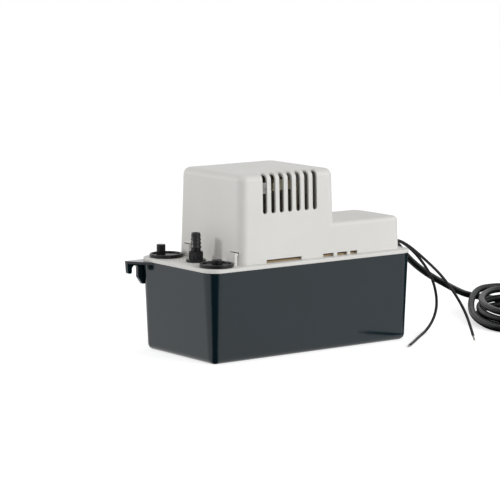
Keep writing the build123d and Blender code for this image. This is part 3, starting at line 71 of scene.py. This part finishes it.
# %% Camera
right = (0.80374228, -0.59497660, -0.00109410)
up = (0.08492766, 0.11290666, 0.98996938)
back = (-0.58888509, -0.79577317, 0.14127782)
stand = (-1.50185, -1.98401, 0.44914)
lens = bpy.data.cameras.new("camera")
lens.lens = 183.22
lens.sensor_width = 36
lens.clip_end = 50
camera = bpy.data.objects.new("camera", lens)
camera.matrix_world = Matrix.Translation(stand) @ Matrix(
    (right, up, back)
).transposed().to_4x4()
bpy.context.collection.objects.link(camera)
bpy.context.scene.camera = camera
print("camera with a lens of", lens.lens, "mm")

# %% [markdown]
# ## The cords
#
# The real cords are vinyl over stranded copper: stiff enough to arch, heavy enough to sag. They
# could be simulated, but a curve through chosen points gives the same lie on every run. One NURBS
# spline per cord keeps the bends smooth, and a round bevel makes it a solid cord. The points are
# in millimetres here and in metres in the curve.

# %% How a cord is drawn
steps_between_points, bevel_steps = 10, 6


def lay_cord(name, points_mm, radius):
    """One open NURBS spline of order 3 that starts and ends on its first and last control point.

    The bevel is a circle of 1 m, and the radius given to every point scales it to the cord.
    """
    curve = bpy.data.curves.new(name, "CURVE")
    curve.dimensions = "3D"
    curve.bevel_depth = 1.0
    curve.bevel_resolution = bevel_steps
    curve.resolution_u = steps_between_points
    curve.use_fill_caps = True
    spline = curve.splines.new("NURBS")
    spline.points.add(len(points_mm) - 1)
    places = np.c_[np.array(points_mm, float) / 1000, np.ones(len(points_mm))]
    spline.points.foreach_set("co", places.ravel())
    spline.points.foreach_set("radius", np.full(len(points_mm), radius))
    spline.order_u = 3
    spline.use_endpoint_u = True
    cord = bpy.data.objects.new(name, curve)
    bpy.context.collection.objects.link(cord)
    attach(cord, "pump")
    return cord


print("a cord has", steps_between_points, "steps from one control point to the next")

# %% [markdown]
# The power cord reaches the floor and lies in a loose coil, as a cord does that has just been
# unpacked. A loose coil is never a true spiral. Here each turn is an ellipse whose two half lengths
# and height change with the angle. A short table holds them at chosen angles, and numpy fills in
# the rest. The third turn lies outside the others and climbs over the arriving cord.

# %% The power cord's coil
coil_centre = np.array((284.0, -34.0))
coil_heading = np.radians(53)
long_way = np.array((np.cos(coil_heading), np.sin(coil_heading)))
short_way = np.array((long_way[1], -long_way[0]))
# Angle along the coil in degrees, half its length, half its width and its height there, in mm.
turn_keys = np.array((
    (67.5, 88, 53, 10), (90, 87, 48, 6), (180, 82, 40, 3.6), (270, 76, 36, 3.6), (360, 75, 37, 3.6),
    (450, 75, 34, 3.8), (540, 78, 36, 10.5), (630, 75, 34, 10.5), (720, 75, 35, 10.5),
    (810, 79, 38, 11), (900, 86, 49, 4), (990, 89, 49, 3.6), (1035, 89, 45, 4), (1080, 88, 44, 9),
    (1103, 88, 45, 16.5), (1127, 88, 46, 23), (1170, 82, 41, 22.5), (1260, 76, 34, 17.5),
    (1350, 74, 33, 17.5), (1440, 75, 33, 19), (1500, 76, 33, 21), (1590, 80, 38, 18),
))
angle_step = 22.5
angle = np.arange(turn_keys[0, 0], turn_keys[-1, 0] + 1, angle_step)
half_long, half_short, coil_height = (
    np.interp(angle, turn_keys[:, 0], turn_keys[:, i]) for i in (1, 2, 3)
)
turn = np.radians(angle)[:, None]
coil_plan = (
    coil_centre
    - half_short[:, None] * np.cos(turn) * short_way
    + half_long[:, None] * np.sin(turn) * long_way
)
coil_points = np.c_[coil_plan, coil_height]
print("coil of", round((angle[-1] - angle[0]) / 360, 2), "turns and", len(coil_points), "points")

# %% [markdown]
# The cord leaves its strain relief level, falls to the floor, runs through the coil and ends at a
# plug. The CAD model holds its place with a first run, a plain ring and a tail. They could be kept
# and bent, but one curve has no joins, so it replaces all three.

# %% The power cord
power_cord_radius = 0.0035
arriving = (
    (110.0, 4.0, 101.0), (142.0, 4.0, 101.0), (158.5, 4.2, 83.5), (175.0, 6.0, 69.0),
    (193.0, 10.0, 57.0), (213.5, 16.0, 46.3), (240.0, 24.0, 34.5), (265.0, 33.0, 24.0),
    (289.0, 42.5, 15.7),
)
leaving = (
    (341.0, -43.0, 11.0), (349.0, -65.0, 5.5), (355.0, -88.0, 5.0), (359.0, -110.0, 10.8),
    (362.0, -130.0, 10.8),
)
power_cord = lay_cord("power_cord_line", [*arriving, *coil_points, *leaving], power_cord_radius)
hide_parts("power_cord", "cord_winding", "cord_tail")
print("power cord with", len(power_cord.data.splines[0].points), "control points")

# %% [markdown]
# The two thin leads of the overflow switch hang down towards the floor and end in bare tinned tips,
# for the fitter to wire up. They leave side by side and part on the way down, as loose leads do, so
# each has a route of its own and not a shifted copy of the other's.

# %% The two switch leads
lead_radius = 0.00145
lead_routes = {
    "switch_lead_1": (
        (110.0, -35.45, 99.0), (121.5, -35.45, 99.0), (135.5, -35.9, 92.0), (148.0, -36.5, 81.6),
        (158.5, -37.0, 70.2), (167.0, -37.0, 58.8), (173.0, -37.0, 46.0), (175.8, -37.2, 33.0),
        (174.5, -38.0, 21.0), (167.5, -39.8, 10.0), (156.0, -43.5, 2.6), (141.5, -53.5, 1.6),
        (126.0, -66.0, 1.6), (110.0, -79.5, 1.6), (94.0, -92.0, 1.6),
    ),
    "switch_lead_2": (
        (110.0, -38.55, 99.0), (121.5, -38.55, 99.0), (136.0, -39.0, 91.6), (150.0, -40.0, 81.0),
        (162.0, -42.3, 70.6), (172.5, -46.4, 59.6), (179.3, -52.5, 48.0), (182.4, -61.0, 37.0),
        (181.0, -74.0, 25.5), (174.5, -89.5, 14.5), (166.0, -104.5, 5.4),
    ),
}
leads = {}
for node, route in lead_routes.items():
    lead = lay_cord(node + "_line", route, lead_radius)
    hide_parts(node)
    leads[node] = lead

# %% [markdown]
# ## The check valve's spring
#
# The real spring presses the poppet shut and shortens as water lifts it. The CAD spring is rigid
# and is hidden. This one is drawn at rest as a surface of its own, a round wire along a helix that
# fills the CAD spring's box.

# %% The spring's shape
low, high = (np.array(corner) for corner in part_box("valve_spring"))
wire_radius, turns, steps_a_turn = 0.00035, 5, 24
middle = (low + high) / 2
coil_radius = (high[0] - low[0]) / 2 - wire_radius
rise = high[2] - low[2] - 2 * wire_radius


def spring_surface(u, v):
    """A round wire along a helix.

    With t = 2 pi turns u and p = 2 pi v, the wire's centre is (R cos t, R sin t, rise u). The
    wire's own circle lies in the plane of the outward direction (cos t, sin t, 0) and +Z.
    """
    t, p = 2 * np.pi * turns * u, 2 * np.pi * v
    reach = coil_radius + wire_radius * np.cos(p)
    return np.stack((
        middle[0] + reach * np.cos(t), middle[1] + reach * np.sin(t),
        low[2] + wire_radius + rise * u + wire_radius * np.sin(p),
    ), -1)


print("wire", round(2000 * wire_radius, 2), "mm thick in", turns, "turns")

# %% The spring as a mesh
along, around = steps_a_turn * turns + 1, 8
grid = spring_surface(
    *np.meshgrid(np.linspace(0, 1, along), np.arange(around) / around, indexing="ij")
)
row, column = np.meshgrid(np.arange(along - 1), np.arange(around), indexing="ij")
beside = (column + 1) % around
quads = np.stack((
    row * around + column, (row + 1) * around + column,
    (row + 1) * around + beside, row * around + beside,
), -1).reshape(-1, 4)
ends = [list(range(around)), list(range(along * around - 1, (along - 1) * around - 1, -1))]
spring_mesh = bpy.data.meshes.new("valve_spring_wire")
spring_mesh.from_pydata(grid.reshape(-1, 3).tolist(), [], quads.tolist() + ends)
spring_mesh.polygons.foreach_set("use_smooth", np.ones(len(spring_mesh.polygons), bool))
spring = bpy.data.objects.new("valve_spring_wire", spring_mesh)
bpy.context.collection.objects.link(spring)
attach(spring, "pump")
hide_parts("valve_spring")
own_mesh(spring)
print("spring", round(1000 * (high[2] - low[2]), 1), "mm long at rest")

# %% [markdown]
# ## Materials
#
# Every finish is a Principled surface. Each could have its own node tree, but moulded, cast and
# plated pieces differ only in colour, roughness and the size of their grain, so one recipe serves
# them. Patterns read object coordinates, so the grain stays on a piece when it moves. Their sizes
# are in millimetres, and a noise with Scale 1000 / size has lumps of about that size. The grain of
# a real moulding or a ground shaft is often under a tenth of a millimetre. It is drawn at 0.3 mm
# or more, because a finer one wouldn't show.


# %% Colours
def colour(code):
    """A colour written as sRGB hex, such as "#dcdcdc", in the linear values that Blender wants."""
    steps = np.array([int(code[i:i + 2], 16) for i in (1, 3, 5)]) / 255
    linear = np.where(steps <= 0.04045, steps / 12.92, ((steps + 0.055) / 1.055) ** 2.4)
    return (*linear.tolist(), 1.0)


print("mid grey #808080 is", round(colour("#808080")[0], 3), "in linear light")


# %% Nodes and blank materials
def add(tree, kind, settings=None, **inputs):
    """A shader node with its settings. An input that is given a socket is linked to it."""
    node = tree.nodes.new("ShaderNode" + kind)
    for name, value in (settings or {}).items():
        setattr(node, name, value)
    for name, value in inputs.items():
        socket = node.inputs[name.replace("_", " ")]
        if isinstance(value, bpy.types.NodeSocket):
            tree.links.new(value, socket)
        else:
            socket.default_value = value
    return node


def blank(name, **inputs):
    """A new material: its tree, its Principled shader and the object coordinates."""
    material = bpy.data.materials.new(name)
    material.use_nodes = True
    tree = material.node_tree
    shader = tree.nodes["Principled BSDF"]
    for key, value in inputs.items():
        shader.inputs[key.replace("_", " ")].default_value = value
    place = tree.nodes.new("ShaderNodeTexCoord").outputs["Object"]
    return material, tree, shader, place


# %% The recipe that most finishes share
# Noise stays near 0.5, so the two colours of a ramp stand at 0.3 and 0.7 and not at its ends.
ramp_stops = (0.3, 0.7)


def grained(name, low, high, patch_mm, rough, grain_mm, depth_mm, edge_mm=0.0, **inputs):
    """Two close colours in patches, a roughness that wanders, and a fine grain in relief.

    Sizes are in millimetres. edge_mm softens the shading of sharp edges by that radius. The sheen
    wanders over patches 2.3 times as wide as the colour's, so that the two never line up.
    """
    material, tree, shader, place = blank(name, **inputs)
    patches = add(tree, "TexNoise", Vector=place, Scale=1000 / patch_mm, Detail=3.0)
    tint = add(tree, "ValToRGB", Fac=patches.outputs["Fac"])
    for stop, position, code in zip(tint.color_ramp.elements, ramp_stops, (low, high)):
        stop.position, stop.color = position, colour(code)
    tree.links.new(tint.outputs["Color"], shader.inputs["Base Color"])
    smear = add(tree, "TexNoise", Vector=place, Scale=1000 / (patch_mm * 2.3), Detail=5.0)
    polish = add(
        tree, "MapRange", Value=smear.outputs["Fac"], To_Min=rough[0], To_Max=rough[1],
    )
    tree.links.new(polish.outputs["Result"], shader.inputs["Roughness"])
    grain = add(tree, "TexNoise", Vector=place, Scale=1000 / grain_mm, Detail=3.0)
    bump = add(
        tree, "Bump", Height=grain.outputs["Fac"], Distance=depth_mm / 1000, Strength=1.0,
    )
    if edge_mm:
        edge = add(tree, "Bevel", {"samples": 6}, Radius=edge_mm / 1000)
        tree.links.new(edge.outputs["Normal"], bump.inputs["Normal"])
    tree.links.new(bump.outputs["Normal"], shader.inputs["Normal"])
    return material


print("the two colours of a ramp stand at", *ramp_stops)

# %% [markdown]
# The cover and deck are white ABS and the tank is dark ABS. Both could be one flat colour, but a
# moulding is never quite even: its sheen wanders where the plastic cooled. The two hex colours of
# each finish are therefore close together, and the roughness has a low and a high end.

# %% Moulded plastics
looks = {}
# White ABS from a lightly eroded mould: an even warm white with a soft satin sheen.
looks["white_plastic"] = grained(
    "moulded_white_abs", "#e1e0dc", "#e6e5e2", 60, (0.46, 0.54), 0.9, 0.012, 0.5,
)
# Dark ABS from a polished mould: blue-black and glossy, so that it mirrors the pale room softly.
# It has no grain to see. Its 14 mm pattern is the slow waviness of a thin moulded wall.
looks["tank_black"] = grained(
    "moulded_dark_abs", "#041a22", "#061f28", 90, (0.11, 0.16), 14, 0.012, 0.6,
    Coat_Weight=0.2, Coat_Roughness=0.1,
)
# Glass-filled nylon fittings: nearly black, half matt, with a dry skin.
looks["black_plastic"] = grained(
    "moulded_black_nylon", "#08090a", "#0e0f10", 8, (0.26, 0.36), 0.5, 0.01, 0.3,
    Specular_IOR_Level=0.35,
)
# Natural acetal: a slightly waxy white.
looks["acetal_white"] = grained(
    "natural_acetal", "#dddcd4", "#e6e5de", 12, (0.3, 0.4), 0.7, 0.008, 0.2,
    Subsurface_Weight=0.08, Subsurface_Scale=0.003,
)
# Natural nylon of the coil's bobbin: cream, and duller than acetal.
looks["bobbin_nylon"] = grained(
    "natural_nylon", "#cfc5a8", "#ddd4ba", 10, (0.4, 0.5), 0.8, 0.01, 0.2,
)
# Closed-cell foam: pale, dry and pitted.
looks["float_foam"] = grained(
    "closed_cell_foam", "#cfcbbd", "#dedbd0", 5, (0.75, 0.9), 1.1, 0.12,
)
print("plastics:", ", ".join(looks))

# %% [markdown]
# Rubber and the cord's vinyl are duller than the mouldings. The hose inside the tank is clear. It
# could be made of plain glass, but real vinyl is milky, so part of the light passes and the rest
# stays on the surface.

# %% Rubber and vinyl
# Cord jacket: black vinyl with a soft, broken shine along the top of each strand.
looks["cord_jacket"] = grained(
    "extruded_black_vinyl", "#07080a", "#0d0f11", 20, (0.36, 0.48), 1.2, 0.02,
    Specular_IOR_Level=0.3,
)
# Moulded rubber of the strain relief, grommet and seals: charcoal, with a broad, weak highlight.
looks["soft_rubber"] = grained(
    "moulded_rubber", "#121212", "#1b1b1b", 6, (0.5, 0.65), 0.6, 0.02, 0.2,
)
# Clear vinyl hose: milky, half see-through, and slick.
looks["clear_hose"] = grained(
    "clear_vinyl_hose", "#c9cfcb", "#dbe0dc", 25, (0.1, 0.2), 3, 0.02,
    Transmission_Weight=0.6, IOR=1.5,
)
print("with rubber and vinyl:", len(looks))

# %% [markdown]
# Bare metals are told apart by colour and by how sharply they mirror: plated sheet is cloudy, a
# ground shaft is clear, and sintered bronze is almost dull.

# %% Metals
# Zinc-plated sheet and screws: grey, with a cloudy bloom.
looks["zinc_steel"] = grained(
    "zinc_plated_steel", "#a9aaa8", "#bdbeba", 4, (0.28, 0.45), 0.6, 0.008, 0.2, Metallic=1.0,
)
# Ground steel of the shaft, pins and spring: light, with a nearly clear reflection.
looks["bright_steel"] = grained(
    "ground_steel", "#b9babb", "#c9cacb", 3, (0.14, 0.26), 0.4, 0.004, 0.1, Metallic=1.0,
)
# Sintered bronze bearings: brown-gold and grainy, with a spread-out highlight.
looks["bearing_bronze"] = grained(
    "sintered_bronze", "#8e6a40", "#a67f4f", 2, (0.45, 0.6), 0.35, 0.02, 0.1, Metallic=1.0,
)
# Cast aluminium of the rotor: pale grey, cloudy and a little uneven.
looks["rotor_aluminium"] = grained(
    "cast_aluminium", "#b0b2b5", "#c4c6c8", 6, (0.35, 0.5), 0.8, 0.02, 0.2, Metallic=1.0,
)
# Bare copper of the shading rings: orange-pink and fairly bright.
looks["copper"] = grained(
    "bare_copper", "#b5714a", "#c98a5e", 2, (0.2, 0.35), 0.3, 0.006, Metallic=1.0,
)
# Tinned strands of the bare lead tips: dull silver, with the strands as a fine relief.
looks["tinned_copper"] = grained(
    "tinned_copper_strands", "#8f8e88", "#a8a6a0", 1.5, (0.35, 0.5), 0.3, 0.05, Metallic=1.0,
)
# Stamped brass of the plug's pins and the switch terminals: yellow, smooth and bright.
looks["plug_brass"] = grained(
    "stamped_brass", "#bfa25e", "#d3b774", 3, (0.18, 0.3), 0.4, 0.005, 0.1, Metallic=1.0,
)
print("materials so far:", len(looks))

# %% [markdown]
# ### The motor's laminations
#
# The core is a stack of thin steel sheets, and their edges show as fine level lines. Modelling
# every sheet would add faces that nobody sees, so a wave texture draws the lines in relief. One
# wave of a band texture spans pi / (10 * Scale) metres, so a pitch in millimetres gives the scale
# as 100 pi / pitch. The power of a half on the wave leaves narrow grooves between broad sheets.

# %% Laminations
# Varnished steel sheets: nearly black, with rust-brown patches and fine level lines.
sheet_mm, rust_mm, band_power = 0.65, 5, 0.5
material, tree, shader, place = blank("varnished_laminations", Metallic=0.7, Roughness=0.5)
wave = add(
    tree, "TexWave", {"wave_type": "BANDS", "bands_direction": "Z", "wave_profile": "SIN"},
    Vector=place, Scale=np.pi * 100 / sheet_mm, Distortion=0.0, Detail=0.0,
)
lines = add(tree, "Math", {"operation": "POWER"}, Value=wave.outputs["Fac"])
lines.inputs[1].default_value = band_power
rust = add(tree, "TexNoise", Vector=place, Scale=1000 / rust_mm, Detail=3.0)
tint = add(tree, "ValToRGB", Fac=rust.outputs["Fac"])
for stop, position, code in zip(tint.color_ramp.elements, ramp_stops, ("#1c1a18", "#3a3029")):
    stop.position, stop.color = position, colour(code)
tree.links.new(tint.outputs["Color"], shader.inputs["Base Color"])
bump = add(tree, "Bump", Height=lines.outputs["Value"], Distance=0.00008, Strength=1.0)
tree.links.new(bump.outputs["Normal"], shader.inputs["Normal"])
looks["lamination_steel"] = material
print("laminations of", sheet_mm, "mm")

# %% [markdown]
# ### The coil's tape
#
# The winding is wrapped in cloth tape and soaked in varnish. Each turn of the tape overlaps the
# last, so the same wave texture serves, with a wider pitch. A fine noise is added to its height for
# the weave, and a coarser one stains the colour where the varnish has gathered.

# %% Winding tape
# Varnished cloth tape: tan, with soft ridges and a slightly uneven colour.
tape_mm, weave_mm, stain_mm = 4.5, 1.2, 9
material, tree, shader, place = blank("varnished_winding_tape", Roughness=0.55)
wave = add(
    tree, "TexWave", {"wave_type": "BANDS", "bands_direction": "Y", "wave_profile": "SIN"},
    Vector=place, Scale=np.pi * 100 / tape_mm, Distortion=0.0, Detail=0.0,
)
bands = add(tree, "Math", {"operation": "POWER"}, Value=wave.outputs["Fac"])
bands.inputs[1].default_value = band_power
weave = add(tree, "TexNoise", Vector=place, Scale=1000 / weave_mm, Detail=3.0)
stain = add(tree, "TexNoise", Vector=place, Scale=1000 / stain_mm, Detail=3.0)
tint = add(tree, "ValToRGB", Fac=stain.outputs["Fac"])
for stop, position, code in zip(tint.color_ramp.elements, ramp_stops, ("#84714f", "#a08a63")):
    stop.position, stop.color = position, colour(code)
tree.links.new(tint.outputs["Color"], shader.inputs["Base Color"])
threads = add(tree, "MapRange", Value=weave.outputs["Fac"], To_Min=0.0, To_Max=0.3)
ridges = add(tree, "Math", {"operation": "ADD"})
tree.links.new(bands.outputs["Value"], ridges.inputs[0])
tree.links.new(threads.outputs["Result"], ridges.inputs[1])
edge = add(tree, "Bevel", {"samples": 6}, Radius=0.0008)
bump = add(
    tree, "Bump", Height=ridges.outputs["Value"], Distance=0.00025, Strength=1.0,
    Normal=edge.outputs["Normal"],
)
tree.links.new(bump.outputs["Normal"], shader.inputs["Normal"])
looks["coil_tape"] = material
print("tape in bands of", tape_mm, "mm")

# %% [markdown]
# ### The fibre mat
#
# The mat is pressed from wood fibre and never shines. Hair could draw the fibres one by one, but
# at this size they read as flecks, so one distorted noise gives both the colour and the relief.

# %% Fibre mat
# Pressed wood fibre: tan, rough and flecked, with a faint fuzz at grazing angles.
flecks_a_mm = 0.9
material, tree, shader, place = blank("pressed_fibre_mat", Roughness=0.9, Sheen_Weight=0.2)
fibres = add(
    tree, "TexNoise", Vector=place, Scale=1000 * flecks_a_mm, Detail=6.0, Distortion=1.5,
)
tint = add(tree, "ValToRGB", Fac=fibres.outputs["Fac"])
for stop, position, code in zip(tint.color_ramp.elements, ramp_stops, ("#8f7654", "#bfa67e")):
    stop.position, stop.color = position, colour(code)
tree.links.new(tint.outputs["Color"], shader.inputs["Base Color"])
bump = add(tree, "Bump", Height=fibres.outputs["Fac"], Distance=0.00015, Strength=1.0)
tree.links.new(bump.outputs["Normal"], shader.inputs["Normal"])
looks["fibre_mat"] = material
print("materials in all:", len(looks))

# %% [markdown]
# ## Every piece gets its finish
#
# The CAD model's record names a finish for each of its nodes, so one loop over the record gives
# them all out, and no piece can be forgotten. The cords and the spring are new, so they come after.

# %% Give every piece its material
for part in frame["record"]["subparts"]:
    for slot in nodes[part["node"]].material_slots:
        slot.material = looks[part["material_slot"]]
for cord in (power_cord, *leads.values()):
    cord.data.materials.append(looks["cord_jacket"])
spring.data.materials.append(looks["bright_steel"])

# %% [markdown]
# ## The floor
#
# The pump stands on a wide white floor that keeps its shadow. What the floor gives back depends on
# the kind of ray that meets it. A straight ray, or one through the clear hose, finds matt paper
# with a glow added, which comes out white. Light that spreads from the floor is the paper's alone.
#
# A mirrored ray finds a pale sheet with two dark fans of painted reflection, which stand in for
# the black cards of a studio; no card stands on the floor, and a straight ray finds none. Each
# fan starts below one of the tank's two near corners. The first opens towards the camera that was
# set above, along the same fixed vector, and the second along +X. The glossy corner above mirrors
# its fan as a painted dark line. The fans are fixed to the floor, so another view finds them
# mirrored elsewhere. The floor isn't part of the pump, so the pump itself has none.

# %% Floor
half_floor = 8.0
floor_mesh = bpy.data.meshes.new("floor")
floor_mesh.from_pydata(
    [(-half_floor, -half_floor, 0), (half_floor, -half_floor, 0),
     (half_floor, half_floor, 0), (-half_floor, half_floor, 0)], [], [(0, 1, 2, 3)],
)
floor = bpy.data.objects.new("floor", floor_mesh)
bpy.context.collection.objects.link(floor)
print("floor", 2 * half_floor, "m square")

# %% The dark fans of painted reflection
paper_white, paper_glow = 0.82, 0.62
pure_white = colour("#ffffff")
paper = bpy.data.materials.new("studio_paper")
paper.use_nodes = True
tree = paper.node_tree
tree.nodes.clear()
matt = add(tree, "BsdfDiffuse", Color=(paper_white, paper_white, paper_white, 1.0))
ground = tree.nodes.new("ShaderNodeNewGeometry").outputs["Position"]
paleness, darkness = 0.85, 0.03
corner_x, corner_y = 0.112, 0.050
# The cosine of the angle to a fan's heading: outside the first it is pale, inside the second dark.
fan_edge, fan_core = 0.72, 0.93
for corner, heading in (
    ((-corner_x, -corner_y, 0.0), back), ((corner_x, -corner_y, 0.0), (0.99, 0.10, 0.0)),
):
    from_corner = add(tree, "VectorMath", {"operation": "SUBTRACT"})
    tree.links.new(ground, from_corner.inputs[0])
    from_corner.inputs[1].default_value = corner
    way = add(tree, "VectorMath", {"operation": "NORMALIZE"})
    tree.links.new(from_corner.outputs["Vector"], way.inputs[0])
    toward = add(tree, "VectorMath", {"operation": "DOT_PRODUCT"})
    tree.links.new(way.outputs["Vector"], toward.inputs[0])
    toward.inputs[1].default_value = heading
    paleness = add(
        tree, "MapRange", {"interpolation_type": "SMOOTHSTEP"}, Value=toward.outputs["Value"],
        From_Min=fan_edge, From_Max=fan_core, To_Min=paleness, To_Max=darkness,
    ).outputs["Result"]
print("two fans, of", len(tree.nodes), "nodes with the paper's own")

# %% What each kind of ray finds
# The two dark fans are a painted reflection: this emission is found by mirrored rays only.
painted_reflection = add(tree, "Emission", Strength=paleness)
glow = add(tree, "Emission", Color=pure_white, Strength=paper_glow)
both = add(tree, "AddShader")
tree.links.new(matt.outputs[0], both.inputs[0])
tree.links.new(glow.outputs[0], both.inputs[1])
ray = tree.nodes.new("ShaderNodeLightPath")
mirrored = add(tree, "MixShader", Fac=ray.outputs["Is Glossy Ray"])
tree.links.new(matt.outputs[0], mirrored.inputs[1])
tree.links.new(painted_reflection.outputs[0], mirrored.inputs[2])
straight = add(tree, "Math", {"operation": "MAXIMUM"})
tree.links.new(ray.outputs["Is Camera Ray"], straight.inputs[0])
tree.links.new(ray.outputs["Is Transmission Ray"], straight.inputs[1])
seen = add(tree, "MixShader", Fac=straight.outputs["Value"])
tree.links.new(mirrored.outputs[0], seen.inputs[1])
tree.links.new(both.outputs[0], seen.inputs[2])
tree.links.new(seen.outputs[0], add(tree, "OutputMaterial").inputs["Surface"])
floor_mesh.materials.append(paper)
print("the whole floor finish has", len(tree.nodes), "nodes")

# %% [markdown]
# ## The room
#
# A white room lights the pump evenly from all round. Walls could be built, but one world colour
# does the same. It lights the pump at less than half strength, so that the lamps still shape it,
# and a ray that is straight, mirrored or through the clear hose finds it full white.

# %% Room
room_light = 0.46
world = bpy.data.worlds.new("white_room")
world.use_nodes = True
bpy.context.scene.world = world
tree = world.node_tree
tree.nodes.clear()
room = add(tree, "Background", Color=pure_white, Strength=room_light)
white = add(tree, "Background", Color=pure_white, Strength=1.0)
ray = tree.nodes.new("ShaderNodeLightPath")
clear = add(tree, "Math", {"operation": "MAXIMUM"})
tree.links.new(ray.outputs["Is Camera Ray"], clear.inputs[0])
tree.links.new(ray.outputs["Is Transmission Ray"], clear.inputs[1])
any_view = add(tree, "Math", {"operation": "MAXIMUM"})
tree.links.new(clear.outputs["Value"], any_view.inputs[0])
tree.links.new(ray.outputs["Is Glossy Ray"], any_view.inputs[1])
seen = add(tree, "MixShader", Fac=any_view.outputs["Value"])
tree.links.new(room.outputs[0], seen.inputs[1])
tree.links.new(white.outputs[0], seen.inputs[2])
tree.links.new(seen.outputs[0], add(tree, "OutputWorld").inputs["Surface"])
print("room light", room_light)

# %% [markdown]
# ## The lamps
#
# Two square soft lamps do what a small studio would. The wide one is the key: it stands in front
# and to the right, and its size keeps the shadow soft. The narrow one stands to the left and
# lights the pump's narrow end. Each is turned by three unit vectors, as the camera is.

# %% Lamps
target = np.array((0.0, 0.0, 0.08))
for name, direction, distance, width, power in (
    ("key", (0.42, -0.80, 0.36), 2.2, 1.5, 22.5),
    ("side", (-0.72, 0.50, 0.30), 2.2, 0.35, 12.5),
):
    lamp = bpy.data.lights.new(name, "AREA")
    lamp.size = width
    lamp.energy = power
    light = bpy.data.objects.new(name, lamp)
    away = np.array(direction) / np.linalg.norm(direction)
    side = np.cross((0, 0, 1), away)
    side /= np.linalg.norm(side)
    light.matrix_world = Matrix.Translation(target + distance * away) @ Matrix(
        (side, np.cross(away, side), away)
    ).transposed().to_4x4()
    bpy.context.collection.objects.link(light)
    print(name, "lamp of", power, "W")

bpy.context.scene.view_settings.view_transform = "Standard"
